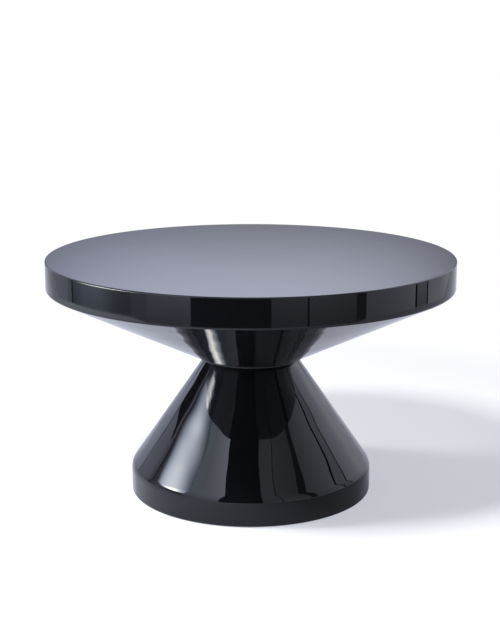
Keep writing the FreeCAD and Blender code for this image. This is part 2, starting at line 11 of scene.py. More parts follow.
import bpy
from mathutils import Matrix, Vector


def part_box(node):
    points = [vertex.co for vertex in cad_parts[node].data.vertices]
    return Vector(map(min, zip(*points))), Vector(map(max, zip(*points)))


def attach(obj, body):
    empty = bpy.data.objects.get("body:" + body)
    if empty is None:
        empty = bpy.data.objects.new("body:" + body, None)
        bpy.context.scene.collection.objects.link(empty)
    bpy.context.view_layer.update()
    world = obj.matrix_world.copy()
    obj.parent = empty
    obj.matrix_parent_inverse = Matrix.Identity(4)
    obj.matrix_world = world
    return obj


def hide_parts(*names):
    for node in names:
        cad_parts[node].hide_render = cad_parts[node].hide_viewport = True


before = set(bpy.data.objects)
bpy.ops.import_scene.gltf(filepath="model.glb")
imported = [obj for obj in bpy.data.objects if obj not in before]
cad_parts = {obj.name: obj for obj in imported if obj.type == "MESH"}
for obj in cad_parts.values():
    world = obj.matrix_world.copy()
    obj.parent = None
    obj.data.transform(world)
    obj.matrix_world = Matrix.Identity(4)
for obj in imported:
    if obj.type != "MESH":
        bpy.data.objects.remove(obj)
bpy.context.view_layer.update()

bl_info = {
    "name": "Round Cocktail Table",
    "version": (1, 0, 0),
    "blender": (4, 5, 0),
    "location": "3D View > Sidebar > Cocktail Table",
    "description": "Dresses the frame of a round cocktail table in black lacquer and lights it",
    "category": "Add Mesh",
}

TABLE_BODY = "table"

# How many there are of what stands in a circle, and where the first board screw stands
GLIDES = (1, 2, 3, 4)
BOARD_SCREWS = 8
FLANGE_SCREWS = 6
PLATE_BOLTS = 4
FIRST_BOARD_SCREW = math.radians(22.5)

# Groups of pieces that alone mirror some of the panels
CONE_MIRRORS = "cone_mirrors"
TOP_MIRRORS = "top_mirrors"

# Fineness of the turned meshes
SHELL_SEGMENTS = 360
FASTENER_SEGMENTS = 48
ROUND_SEGMENTS = 96
ARC_STEPS = 10
RUN_STEP = 0.020
EDGE_GUARD = 0.0003
GUARDED_RUN = 0.0015
ROWS_PER_THREAD = 6
SHARP_ANGLE = math.radians(32)
WELD = 1e-6


def length_property(name, description, default):
    """A size in metres that a user may change."""
    return bpy.props.FloatProperty(
        name=name, description=description, default=default, min=0.0, precision=4, unit="LENGTH"
    )


def colour_property(name, description, default):
    """A linear colour that a user may change."""
    return bpy.props.FloatVectorProperty(
        name=name, description=description, default=default, size=3, min=0.0, max=1.0, subtype="COLOR"
    )


def power_property(name, description, default):
    """A lamp's power that a user may change."""
    return bpy.props.FloatProperty(
        name=name, description=description, default=default, min=0.0, unit="POWER"
    )


class ShellSizes(bpy.types.PropertyGroup):
    """Sizes of the lacquered mouldings that their boxes in the frame do not give."""

    rim_height: length_property("Rim height", "Upright rim of the top", 0.0415)
    band_height: length_property("Band height", "Upright band at the foot", 0.038)
    waist_lip: length_property("Waist lip", "Upright lip above the waist seam", 0.0015)
    waist_diameter: length_property("Waist", "Lip at the waist, across", 0.156)
    waist_setback: length_property("Waist setback", "Step in below the waist lip", 0.010)
    wall: length_property("Wall", "Thickness of the mouldings", 0.004)
    neck_wall: length_property("Neck wall", "Thickness of the mouldings at the waist", 0.006)
    neck_land: length_property("Neck land", "Straight seat inside the lower neck", 0.012)
    top_edge: length_property("Top edge", "Rounding of the table top's edge", 0.002)
    rim_edge: length_property("Rim edge", "Rounding of the rim's lower edge", 0.003)
    lip_edge: length_property("Lip corner", "Rounding above the waist lip", 0.0008)
    band_edge: length_property("Band edge", "Rounding of the band's upper edge", 0.020)
    foot_edge: length_property("Foot edge", "Rounding of the band's lower edge", 0.0015)


class FastenerSizes(bpy.types.PropertyGroup):
    """Sizes of the screws, bolts, washers, inserts and glides."""

    screw_shank: length_property("Board screw", "Thread of the board screws, across", 0.0045)
    screw_head: length_property("Board screw head", "Countersunk head, across", 0.009)
    screw_pitch: length_property("Wood thread pitch", "Rise of a wood screw in one turn", 0.002)
    flange_shank: length_property("Flange screw", "Thread of the flange screws, across", 0.005)
    flange_head: length_property("Flange screw head", "Pan head, across", 0.010)
    flange_head_height: length_property("Flange head height", "Height of the pan head", 0.003)
    flange_inset: length_property("Flange screw inset", "Edge of the flange to its screws", 0.020)
    column_bolt: length_property("Column bolt", "Thread, across", 0.012)
    column_bolt_flats: length_property("Column bolt head", "Across flats", 0.019)
    column_bolt_head: length_property("Column bolt head height", "Height of the head", 0.0075)
    column_bolt_pitch: length_property("Column bolt pitch", "Rise of the thread in one turn", 0.00175)
    plate_bolt: length_property("Plate bolt", "Thread of the ballast bolts, across", 0.008)
    plate_bolt_flats: length_property("Plate bolt head", "Across flats", 0.013)
    plate_bolt_head: length_property("Plate bolt head height", "Height of the head", 0.0053)
    stem_pitch: length_property("Stem pitch", "Rise of a glide stem or plate bolt in one turn", 0.00125)
    hole_gap: length_property("Hole gap", "Bolt to the hole of its washer, on one side", 0.0005)
    thread_gap: length_property("Thread gap", "Stem to the insert's thread", 0.0001)
    insert_wall: length_property("Insert wall", "Threaded insert round the stem", 0.0015)
    insert_flange: length_property("Insert flange", "Thickness of the insert's flange", 0.0015)
    stem: length_property("Glide stem", "Thread of the stem, across", 0.008)
    stem_neck: length_property("Stem neck", "Between button and collar, across", 0.007)
    button: length_property("Stem button", "Head that the foot swivels on, across", 0.012)
    button_height: length_property("Button height", "Height of that head", 0.002)
    collar_flats: length_property("Stem collar", "Hexagon for the spanner, across flats", 0.013)
    collar_height: length_property("Collar height", "Height of the hexagon", 0.004)
    swivel_gap: length_property("Swivel gap", "Stem's button in the foot", 0.0002)
    foot_floor: length_property("Foot floor", "Foot below the button", 0.0018)
    foot_taper: length_property("Foot taper", "Foot's edge to its upper face", 0.003)


class TableFinishes(bpy.types.PropertyGroup):
    """Colours of the table's finishes."""

    lacquer: colour_property("Lacquer", "Black gloss of the mouldings", (0.0064, 0.0071, 0.0096))
    birch_light: colour_property("Birch, early wood", "Pale part of the grain", (0.56, 0.41, 0.25))
    birch_dark: colour_property("Birch, late wood", "Dark part of the grain", (0.36, 0.23, 0.12))
    board_paint: colour_property("Board paint", "Black paint of the base board", (0.016, 0.016, 0.017))
    steel_paint: colour_property("Steel paint", "Black coating of column and plates", (0.020, 0.020, 0.022))
    zinc: colour_property("Zinc", "Plating of the fasteners", (0.58, 0.59, 0.61))
    nylon: colour_property("Nylon", "Moulded glide feet", (0.018, 0.018, 0.019))
    rubber: colour_property("Rubber", "Pads under the glides", (0.085, 0.085, 0.090))


class StageSettings(bpy.types.PropertyGroup):
    """Camera and lamps."""

    camera_aside: bpy.props.FloatProperty(
        name="Camera aside", description="To the right of the table's axis", default=-0.0012, unit="LENGTH"
    )
    camera_away: length_property("Camera away", "In front of the table's axis", 1.8766)
    camera_height: length_property("Camera height", "Above the floor", 0.6904)
    camera_dip: bpy.props.FloatProperty(
        name="Camera dip", description="Below the horizon", default=math.radians(12.698), unit="ROTATION"
    )
    lens: bpy.props.FloatProperty(
        name="Lens", description="Focal length on a 36 mm frame", default=74.63, min=1.0, unit="CAMERA"
    )
    key_power: power_property("Side lamp", "Lamp beside the table", 39.8)
    front_power: power_property("Front lamp", "Lamp in front of the table, to the left", 44.1)
    ambient: bpy.props.FloatProperty(
        name="Ambient", description="Even light from all round", default=0.22, min=0.0
    )


# Node helpers

def add_node(tree, kind, inputs=None, **settings):
    """A new node with its settings, and with sockets linked or set."""
    node = tree.nodes.new(kind)
    for key, setting in settings.items():
        setattr(node, key, setting)
    for key, given in (inputs or {}).items():
        if isinstance(given, bpy.types.NodeSocket):
            tree.links.new(given, node.inputs[key])
        else:
            node.inputs[key].default_value = given
    return node


def calculate(tree, operation, *operands):
    """The output of a Math node."""
    node = add_node(tree, "ShaderNodeMath", dict(enumerate(operands)), operation=operation)
    return node.outputs["Value"]


def rescale(tree, value, start, end, low, high, smooth=False):
    """The output of a Map Range node, held inside its range."""
    kind = "SMOOTHSTEP" if smooth else "LINEAR"
    bounds = {"Value": value, "From Min": start, "From Max": end, "To Min": low, "To Max": high}
    return add_node(tree, "ShaderNodeMapRange", bounds, interpolation_type=kind, clamp=True).outputs["Result"]


def blend_colours(tree, share, first, second):
    """A colour between two, by a share that varies over the surface."""
    node = tree.nodes.new("ShaderNodeMix")
    node.data_type = "RGBA"
    node.clamp_factor = True
    tree.links.new(share, node.inputs[0])
    for socket, colour in ((node.inputs[6], first), (node.inputs[7], second)):
        if isinstance(colour, bpy.types.NodeSocket):
            tree.links.new(colour, socket)
        else:
            socket.default_value = (*colour, 1.0)
    return node.outputs[2]


def mix_shaders(tree, share, first, second):
    """One shader or another, by a share."""
    return add_node(tree, "ShaderNodeMixShader", {0: share, 1: first, 2: second}).outputs["Shader"]


def emptied_tree(owner):
    """The node tree of a material or a world, without the nodes that it starts with."""
    owner.use_nodes = True
    owner.node_tree.nodes.clear()
    return owner.node_tree


def shade_of(colour, factor):
    """The same colour, lighter or darker."""
    return tuple(min(1.0, channel * factor) for channel in colour)


# Turned pieces

Corner = namedtuple("Corner", "radius height rounding flats slots thread", defaults=(0.0, 0.0, 0.0, 0.0))


def rounded(before, corner, after):
    """The arc that rounds a corner off, as a run of plain corners."""
    back = (before.radius - corner.radius, before.height - corner.height)
    ahead = (after.radius - corner.radius, after.height - corner.height)
    back_angle = math.atan2(back[1], back[0])
    ahead_angle = math.atan2(ahead[1], ahead[0])
    opening = (ahead_angle - back_angle + math.pi) % (2 * math.pi) - math.pi
    halfway = back_angle + opening / 2
    offset = corner.rounding / math.sin(abs(opening) / 2)
    centre = (corner.radius + offset * math.cos(halfway), corner.height + offset * math.sin(halfway))
    sweep = (math.pi - abs(opening)) * math.copysign(1, opening)
    start = halfway + math.pi + sweep / 2
    run = []
    for step in range(ARC_STEPS + 1):
        angle = start - sweep * step / ARC_STEPS
        run.append(corner._replace(
            radius=centre[0] + corner.rounding * math.cos(angle),
            height=centre[1] + corner.rounding * math.sin(angle),
            rounding=0.0,
        ))
    return run


def turning_profile(corners, closed=False, pitch=0.0):
    """The corners with their arcs, threads and long runs divided for turning."""
    points = []
    for place, corner in enumerate(corners):
        if corner.rounding:
            points += rounded(corners[place - 1], corner, corners[(place + 1) % len(corners)])
        else:
            points.append(corner)
    if closed:
        points.append(points[0])
    profile = [points[0]]
    for first, second in zip(points, points[1:]):
        length = math.hypot(second.radius - first.radius, second.height - first.height)
        if first.thread and second.thread:
            count = max(1, round(length / pitch * ROWS_PER_THREAD))
            shares = [step / count for step in range(1, count)]
        elif length > GUARDED_RUN:
            count = math.ceil(length / RUN_STEP)
            guard = EDGE_GUARD / length
            shares = [guard, *(step / count for step in range(1, count)), 1 - guard]
        else:
            shares = []
        for share in shares:
            profile.append(first._replace(
                radius=first.radius + (second.radius - first.radius) * share,
                height=first.height + (second.height - first.height) * share,
                slots=min(first.slots, second.slots),
                flats=min(first.flats, second.flats),
            ))
        profile.append(second)
    return profile


def turning_tree():
    """Geometry Nodes that turn a profile about the upright axis and stand copies of it in a circle.

    A profile point may be milled to six flats or to a cross slot, or cut by a right-hand thread.
    """
    name = "Turned piece"
    if name in bpy.data.node_groups:
        return bpy.data.node_groups[name]
    tree = bpy.data.node_groups.new(name, "GeometryNodeTree")
    sockets = (
        ("Profile", "NodeSocketGeometry"),
        ("Segments", "NodeSocketInt"),
        ("Thread pitch", "NodeSocketFloat"),
        ("Copies", "NodeSocketInt"),
        ("Circle radius", "NodeSocketFloat"),
        ("First angle", "NodeSocketFloat"),
        ("Finish", "NodeSocketMaterial"),
    )
    for label, kind in sockets:
        tree.interface.new_socket(label, in_out="INPUT", socket_type=kind)
    tree.interface.new_socket("Piece", in_out="OUTPUT", socket_type="NodeSocketGeometry")
    given = tree.nodes.new("NodeGroupInput").outputs

    # Rows of the grid are profile points and its columns go round the axis
    index = tree.nodes.new("GeometryNodeInputIndex").outputs["Index"]
    size = add_node(tree, "GeometryNodeAttributeDomainSize", {"Geometry": given["Profile"]}, component="MESH")
    columns = calculate(tree, "ADD", given["Segments"], 1.0)
    grid = add_node(tree, "GeometryNodeMeshGrid", {
        "Vertices X": size.outputs["Point Count"], "Vertices Y": columns,
    })
    row = calculate(tree, "FLOOR", calculate(tree, "DIVIDE", calculate(tree, "ADD", index, 0.5), columns))
    column = calculate(tree, "SUBTRACT", index, calculate(tree, "MULTIPLY", row, columns))
    turns = calculate(tree, "DIVIDE", column, given["Segments"])
    angle = calculate(tree, "MULTIPLY", turns, 2 * math.pi)

    def along_profile(field, data_type):
        """What the profile holds at the row's point."""
        sample = add_node(tree, "GeometryNodeSampleIndex", data_type=data_type, domain="POINT")
        tree.links.new(given["Profile"], sample.inputs["Geometry"])
        tree.links.new(field, sample.inputs["Value"])
        tree.links.new(row, sample.inputs["Index"])
        return sample.outputs["Value"]

    def stored(attribute):
        """A number stored on the profile's points."""
        node = add_node(tree, "GeometryNodeInputNamedAttribute", {"Name": attribute}, data_type="FLOAT")
        return along_profile(node.outputs["Attribute"], "FLOAT")

    def milled(radius, width, off_middle):
        """The radius cut back to a straight side whose middle is so far round, where it has a width."""
        side = calculate(tree, "DIVIDE", calculate(tree, "MULTIPLY", width, 0.5), off_middle)
        cut = calculate(tree, "MINIMUM", radius, side)
        asked = calculate(tree, "GREATER_THAN", width, 0.0)
        change = calculate(tree, "MULTIPLY", asked, calculate(tree, "SUBTRACT", cut, radius))
        return calculate(tree, "ADD", radius, change)

    position = tree.nodes.new("GeometryNodeInputPosition").outputs["Position"]
    place = add_node(tree, "ShaderNodeSeparateXYZ", {"Vector": along_profile(position, "FLOAT_VECTOR")})
    height = place.outputs["Z"]
    sixth = calculate(tree, "SUBTRACT", calculate(tree, "MODULO", angle, math.pi / 3), math.pi / 6)
    radius = milled(place.outputs["X"], stored("flats"), calculate(tree, "COSINE", sixth))
    turned_back = calculate(tree, "ADD", angle, math.pi / 4)
    quarter = calculate(tree, "SUBTRACT", calculate(tree, "MODULO", turned_back, math.pi / 2), math.pi / 4)
    off_arm = calculate(tree, "MAXIMUM", calculate(tree, "ABSOLUTE", calculate(tree, "SINE", quarter)), 0.01)
    radius = milled(radius, stored("slots"), off_arm)
    climb = calculate(tree, "SUBTRACT", turns, calculate(tree, "DIVIDE", height, given["Thread pitch"]))
    wave = calculate(tree, "PINGPONG", calculate(tree, "FRACT", climb), 0.5)
    groove = calculate(tree, "MULTIPLY", stored("thread"), calculate(tree, "MULTIPLY", wave, 2.0))
    radius = calculate(tree, "SUBTRACT", radius, groove)
    turned_to = add_node(tree, "ShaderNodeCombineXYZ", {
        "X": calculate(tree, "MULTIPLY", radius, calculate(tree, "COSINE", angle)),
        "Y": calculate(tree, "MULTIPLY", radius, calculate(tree, "SINE", angle)),
        "Z": height,
    })
    turned = add_node(tree, "GeometryNodeSetPosition", {
        "Geometry": grid.outputs["Mesh"], "Position": turned_to.outputs["Vector"],
    })
    welded = add_node(tree, "GeometryNodeMergeByDistance", {
        "Geometry": turned.outputs["Geometry"], "Distance": WELD,
    })
    outward = add_node(tree, "GeometryNodeFlipFaces", {"Mesh": welded.outputs["Geometry"]})

    # Copies stand evenly in a circle, each turned to face the axis
    number = tree.nodes.new("GeometryNodeInputIndex").outputs["Index"]
    share = calculate(tree, "DIVIDE", number, given["Copies"])
    bearing = calculate(tree, "ADD", calculate(tree, "MULTIPLY", share, 2 * math.pi), given["First angle"])
    spot = add_node(tree, "ShaderNodeCombineXYZ", {
        "X": calculate(tree, "MULTIPLY", given["Circle radius"], calculate(tree, "COSINE", bearing)),
        "Y": calculate(tree, "MULTIPLY", given["Circle radius"], calculate(tree, "SINE", bearing)),
    })
    spots = add_node(tree, "GeometryNodePoints", {
        "Count": given["Copies"], "Position": spot.outputs["Vector"],
    })
    facing = add_node(tree, "ShaderNodeCombineXYZ", {"Z": bearing})
    heading = add_node(tree, "FunctionNodeEulerToRotation", {"Euler": facing.outputs["Vector"]})
    copies = add_node(tree, "GeometryNodeInstanceOnPoints", {
        "Points": spots.outputs["Points"],
        "Instance": outward.outputs["Mesh"],
        "Rotation": heading.outputs["Rotation"],
    })
    real = add_node(tree, "GeometryNodeRealizeInstances", {"Geometry": copies.outputs["Instances"]})
    finished = add_node(tree, "GeometryNodeSetMaterial", {
        "Geometry": real.outputs["Geometry"], "Material": given["Finish"],
    })
    end = tree.nodes.new("NodeGroupOutput")
    tree.links.new(finished.outputs["Geometry"], end.inputs["Piece"])
    return tree


def turn_piece(
    name, profile, finish, segments=FASTENER_SEGMENTS, pitch=1.0, copies=1, circle=0.0, first_angle=0.0
):
    """A plain mesh object turned from its profile, one or several in a circle."""
    outline = bpy.data.meshes.new(f"{name}_profile")
    places = [(point.radius, 0.0, point.height) for point in profile]
    outline.from_pydata(places, [(end - 1, end) for end in range(1, len(places))], [])
    for label in ("flats", "slots", "thread"):
        layer = outline.attributes.new(label, "FLOAT", "POINT")
        layer.data.foreach_set("value", [getattr(point, label) for point in profile])
    piece = bpy.data.objects.new(name, outline)
    bpy.context.scene.collection.objects.link(piece)
    tree = turning_tree()
    turning = piece.modifiers.new("Turning", "NODES")
    turning.node_group = tree
    settings = {
        "Segments": segments, "Thread pitch": pitch, "Copies": copies, "Circle radius": circle,
        "First angle": first_angle, "Finish": finish,
    }
    for item in tree.interface.items_tree:
        if item.in_out == "INPUT" and item.name in settings:
            turning[item.identifier] = settings[item.name]
    scene_state = bpy.context.evaluated_depsgraph_get()
    mesh = bpy.data.meshes.new_from_object(piece.evaluated_get(scene_state), depsgraph=scene_state)
    piece.modifiers.remove(turning)
    piece.data = mesh
    bpy.data.meshes.remove(outline)
    if not mesh.polygons:
        raise RuntimeError(f"{name} came out empty")
    mesh.name = name
    mesh.shade_smooth()
    mesh.set_sharp_from_angle(angle=SHARP_ANGLE)
    return piece


def fit(piece, body, slot, *nodes):
    """Tie a finished piece to its body and hide the solids that it stands for."""
    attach(piece, body)
    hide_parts(*nodes)


def add_turned(name, node, slot, profile, body=TABLE_BODY, **turning):
    """Turn a piece in the finish of its slot, in place of a solid."""
    piece = turn_piece(name, profile, finish_for(slot), **turning)
    fit(piece, body, slot, node)
    return piece


def mirrors(name):
    """The group of pieces that alone mirror some of the panels, made once."""
    return bpy.data.collections.get(name) or bpy.data.collections.new(name)


# Finishes

def new_finish(name):
    """A material, its node tree and the surface's own coordinates."""
    material = bpy.data.materials.new(name)
    material.use_nodes = True
    tree = material.node_tree
    return material, tree, tree.nodes.new("ShaderNodeTexCoord").outputs["Object"]


def finish_surface(tree, colour, roughness, bump, **even):
    """Link what varies over a finish to its shader, and set what is the same all over."""
    inputs = tree.nodes["Principled BSDF"].inputs
    tree.links.new(colour, inputs["Base Color"])
    tree.links.new(roughness, inputs["Roughness"])
    tree.links.new(bump, inputs["Normal"])
    for name, number in even.items():
        inputs[name].default_value = number


def noise(tree, coordinates, scale, detail, roughness, stretch=None):
    """Even noise, its grain given in waves per metre and drawn out along an axis if asked."""
    vector = coordinates
    if stretch:
        drawn_out = add_node(tree, "ShaderNodeMapping", {"Vector": coordinates, "Scale": stretch})
        vector = drawn_out.outputs["Vector"]
    settings = {"Vector": vector, "Scale": scale, "Detail": detail, "Roughness": roughness}
    return add_node(tree, "ShaderNodeTexNoise", settings).outputs["Fac"]


def raise_surface(tree, height, depth, below=None):
    """Bump by a height that varies over the surface, with a depth in metres."""
    node = add_node(tree, "ShaderNodeBump", {"Height": height, "Strength": 1.0, "Distance": depth})
    if below:
        tree.links.new(below, node.inputs["Normal"])
    return node.outputs["Normal"]


# The part of a noise over which tone and gloss change
NOISE_MIDDLE = (0.3, 0.7)

# Depths of the lacquer's bumps in metres, the heights between which the swell of the cones ends below
# the rim, and those between which the deeper swell of the lower cone gives way
SWELL_DEPTH = 0.0005
RIPPLE_DEPTH = 0.00006
PEEL_DEPTH = 0.0000025
SWELL_END = (0.296, 0.312)
DEEPER_END = (0.170, 0.205)
DEEPER_SHARE = 2.2

# Specks of dust in the lacquer, and the board paint where it is rubbed
DUST = (0.030, 0.030, 0.032)
RUBBED_GREY = (0.045, 0.044, 0.042)


def lacquer_finish(name, colour):
    """Polished black lacquer: a swell on the cones, long ripple, fine peel, a little haze and dust."""
    material, tree, coordinates = new_finish(name)
    swell = calculate(tree, "SUBTRACT", noise(tree, coordinates, scale=21.0, detail=0.0, roughness=0.5), 0.5)
    ripple = noise(tree, coordinates, scale=14.0, detail=1.0, roughness=0.4)
    peel = noise(tree, coordinates, scale=160.0, detail=1.5, roughness=0.5)
    haze = noise(tree, coordinates, scale=9.0, detail=4.0, roughness=0.6)
    dust = noise(tree, coordinates, scale=1400.0, detail=1.0, roughness=0.5)
    height = add_node(tree, "ShaderNodeSeparateXYZ", {"Vector": coordinates}).outputs["Z"]
    below_rim = rescale(tree, height, *SWELL_END, 1.0, 0.0, smooth=True)
    deeper = rescale(tree, height, *DEEPER_END, DEEPER_SHARE, 1.0, smooth=True)
    share = calculate(tree, "MULTIPLY", below_rim, deeper)
    swollen = raise_surface(tree, calculate(tree, "MULTIPLY", swell, share), SWELL_DEPTH)
    rippled = raise_surface(tree, ripple, RIPPLE_DEPTH, swollen)
    peeled = raise_surface(tree, peel, PEEL_DEPTH, rippled)
    roughness = rescale(tree, haze, *NOISE_MIDDLE, 0.015, 0.040)
    specks = rescale(tree, dust, 0.70, 0.76, 0.0, 0.6)
    tone = blend_colours(tree, haze, shade_of(colour, 0.85), shade_of(colour, 1.15))
    finish_surface(tree, blend_colours(tree, specks, tone, DUST), roughness, peeled, IOR=1.5)
    return material


def birch_finish(name, light, dark):
    """Bare birch: long grain along one axis, with pores."""
    material, tree, coordinates = new_finish(name)
    grain = noise(tree, coordinates, scale=30.0, detail=5.0, roughness=0.6, stretch=(0.12, 1.0, 1.0))
    pores = noise(tree, coordinates, scale=700.0, detail=2.0, roughness=0.5, stretch=(0.05, 1.0, 1.0))
    plies = add_node(tree, "ShaderNodeTexWave", {
        "Vector": coordinates, "Scale": 110.0, "Distortion": 0.6, "Detail": 1.0,
    }, wave_type="BANDS", bands_direction="Z", wave_profile="SIN").outputs["Fac"]
    share = rescale(tree, grain, 0.35, 0.68, 0.0, 1.0)
    face = blend_colours(tree, share, light, dark)
    layered = blend_colours(tree, rescale(tree, plies, 0.55, 0.9, 0.0, 0.35), face, shade_of(dark, 0.8))
    flecked = blend_colours(tree, rescale(tree, pores, 0.62, 0.72, 0.0, 0.5), layered, shade_of(dark, 0.5))
    roughness = rescale(tree, grain, *NOISE_MIDDLE, 0.55, 0.72)
    finish_surface(tree, flecked, roughness, raise_surface(tree, pores, 0.00008))
    return material


def board_finish(name, colour):
    """Black paint rolled on board, its grain showing through and rubbed a little grey."""
    material, tree, coordinates = new_finish(name)
    grain = noise(tree, coordinates, scale=60.0, detail=4.0, roughness=0.6, stretch=(0.08, 1.0, 1.0))
    stipple = noise(tree, coordinates, scale=900.0, detail=2.0, roughness=0.6)
    rubbed = noise(tree, coordinates, scale=22.0, detail=5.0, roughness=0.7)
    tone = blend_colours(tree, grain, shade_of(colour, 0.75), shade_of(colour, 1.5))
    worn = rescale(tree, rubbed, 0.62, 0.78, 0.0, 0.5)
    roughness = rescale(tree, rubbed, *NOISE_MIDDLE, 0.46, 0.66)
    stippled = raise_surface(tree, stipple, 0.00006, raise_surface(tree, grain, 0.00025))
    finish_surface(tree, blend_colours(tree, worn, tone, RUBBED_GREY), roughness, stippled)
    return material


def zinc_finish(name, colour):
    """Bright zinc plating with faint turning marks and cloudy passivation."""
    material, tree, coordinates = new_finish(name)
    cloud = noise(tree, coordinates, scale=120.0, detail=4.0, roughness=0.6)
    marks = noise(tree, coordinates, scale=500.0, detail=3.0, roughness=0.6, stretch=(0.3, 0.3, 6.0))
    warm = (colour[0] * 0.92, colour[1] * 0.88, colour[2] * 0.78)
    roughness = rescale(tree, cloud, *NOISE_MIDDLE, 0.24, 0.42)
    turned = raise_surface(tree, marks, 0.00001)
    finish_surface(tree, blend_colours(tree, cloud, colour, warm), roughness, turned, Metallic=1.0)
    return material


# Finishes of one colour: the fine noise that roughens them and its depth in metres, the coarse noise that
# mottles them, and the tones and roughness between which it does. A noise has its waves per metre, its
# detail and its own roughness.
Mottle = namedtuple("Mottle", "fine depth coarse tones roughness")
MOTTLES = {
    "black_powder_coat": Mottle((650.0, 2.0, 0.5), 0.00005, (18.0, 4.0, 0.6), (0.8, 1.3), (0.34, 0.48)),
    "black_nylon": Mottle((1800.0, 2.0, 0.6), 0.00003, (70.0, 3.0, 0.5), (0.8, 1.3), (0.38, 0.52)),
    "grey_rubber": Mottle((1200.0, 3.0, 0.6), 0.00006, (150.0, 4.0, 0.7), (0.75, 1.4), (0.72, 0.9)),
}


def mottled_finish(name, colour):
    """Powder coat, moulded nylon or rubber, mottled and finely rough."""
    mottle = MOTTLES[name]
    material, tree, coordinates = new_finish(name)
    fine = noise(tree, coordinates, *mottle.fine)
    coarse = noise(tree, coordinates, *mottle.coarse)
    tones = [shade_of(colour, tone) for tone in mottle.tones]
    roughness = rescale(tree, coarse, *NOISE_MIDDLE, *mottle.roughness)
    grain = raise_surface(tree, fine, mottle.depth)
    finish_surface(tree, blend_colours(tree, coarse, *tones), roughness, grain)
    return material


def finish_for(slot):
    """The material of a slot, made once."""
    colours = bpy.context.scene.table_finishes
    make, name, *tones = {
        "lacquer": (lacquer_finish, "black_lacquer", colours.lacquer),
        "birch_board": (birch_finish, "birch_ply", colours.birch_light, colours.birch_dark),
        "black_board": (board_finish, "black_board_paint", colours.board_paint),
        "black_steel": (mottled_finish, "black_powder_coat", colours.steel_paint),
        "zinc_steel": (zinc_finish, "zinc_plating", colours.zinc),
        "black_nylon": (mottled_finish, "black_nylon", colours.nylon),
        "grey_rubber": (mottled_finish, "grey_rubber", colours.rubber),
    }[slot]
    return bpy.data.materials.get(name) or make(name, *tones)


# Heights and radii that the pieces share

def bottom(node):
    """Height of a solid's lower end."""
    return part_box(node)[0].z


def top(node):
    """Height of a solid's upper end."""
    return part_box(node)[1].z


def reach(node):
    """Largest distance of a solid from the table's upright plane of symmetry."""
    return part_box(node)[1].x


def middle(node):
    """Place of a solid's middle, seen from above."""
    low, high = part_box(node)
    return (low.x + high.x) / 2, (low.y + high.y) / 2


def half_width(node):
    """Half of what a solid measures across."""
    low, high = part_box(node)
    return (high.x - low.x) / 2


def middle_of_first(node):
    """Distance from the table's axis to the piece of a circle that lies on the first axis."""
    across = [corner.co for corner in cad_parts[node].data.vertices]
    first = [place.x for place in across if place.x > abs(place.y)]
    return (min(first) + max(first)) / 2


class TABLE_OT_tabletop(bpy.types.Operator):
    """Turn the moulded top with its upright rim"""

    bl_idname = "cocktail_table.tabletop"
    bl_label = "Table top"

    def execute(self, context):
        sizes = context.scene.shell_sizes
        upper, seam, outside = top("tabletop_pan"), bottom("tabletop_pan"), reach("tabletop_pan")
        inside = outside - sizes.wall
        skin = upper - sizes.wall
        profile = turning_profile([
            Corner(0.0, skin),
            Corner(inside, skin),
            Corner(inside, seam),
            Corner(outside, seam),
            Corner(outside, upper, sizes.top_edge),
            Corner(0.0, upper),
        ])
        piece = add_turned("table_top", "tabletop_pan", "lacquer", profile, segments=SHELL_SEGMENTS)
        mirrors(TOP_MIRRORS).objects.link(piece)
        return {"FINISHED"}


class TABLE_OT_upper_cone(bpy.types.Operator):
    """Turn the moulding from the rim down to the waist lip"""

    bl_idname = "cocktail_table.upper_cone"
    bl_label = "Upper cone"

    def execute(self, context):
        sizes = context.scene.shell_sizes
        seam, waist, outside = top("upper_cone_shell"), bottom("upper_cone_shell"), reach("upper_cone_shell")
        rim = top("tabletop_pan") - sizes.rim_height
        lip = sizes.waist_diameter / 2
        neck = lip - sizes.waist_setback - sizes.neck_wall
        inside = outside - sizes.wall
        slope = (rim - waist - sizes.waist_lip) / (outside - lip)
        rise = sizes.wall * math.hypot(1.0, slope)
        floor = waist + sizes.neck_wall
        profile = turning_profile([
            Corner(neck, waist),
            Corner(lip, waist),
            Corner(lip, waist + sizes.waist_lip, sizes.lip_edge),
            Corner(outside, rim, sizes.rim_edge),
            Corner(outside, seam),
            Corner(inside, seam),
            Corner(inside, rim - (outside - inside) * slope + rise),
            Corner(outside - (rim + rise - floor) / slope, floor),
            Corner(neck, floor),
        ], closed=True)
        piece = add_turned("upper_cone", "upper_cone_shell", "lacquer", profile, segments=SHELL_SEGMENTS)
        mirrors(CONE_MIRRORS).objects.link(piece)
        return {"FINISHED"}


class TABLE_OT_lower_shell(bpy.types.Operator):
    """Turn the moulding from the waist seam down to the foot"""

    bl_idname = "cocktail_table.lower_shell"
    bl_label = "Lower cone and band"

    def execute(self, context):
        sizes = context.scene.shell_sizes
        waist, foot, outside = top("lower_shell"), bottom("lower_shell"), reach("lower_shell")
        band = foot + sizes.band_height
        shoulder = sizes.waist_diameter / 2 - sizes.waist_setback
        neck = shoulder - sizes.neck_wall
        inside = outside - sizes.wall
        land = waist - sizes.neck_land
        spread = (outside - shoulder) / (waist - band)
        slant = math.hypot(1.0, spread)
        inner_corner = band - sizes.wall * (slant - 1.0) / spread
        land_radius = outside - (land - band) * spread - sizes.wall * slant
        profile = turning_profile([
            Corner(neck, waist),
            Corner(neck, land),
            Corner(land_radius, land),
            Corner(inside, inner_corner),
            Corner(inside, foot),
            Corner(outside, foot, sizes.foot_edge),
            Corner(outside, band, sizes.band_edge),
            Corner(shoulder, waist),
        ], closed=True)
        piece = add_turned("lower_cone_and_band", "lower_shell", "lacquer", profile, segments=SHELL_SEGMENTS)
        mirrors(CONE_MIRRORS).objects.link(piece)
        return {"FINISHED"}


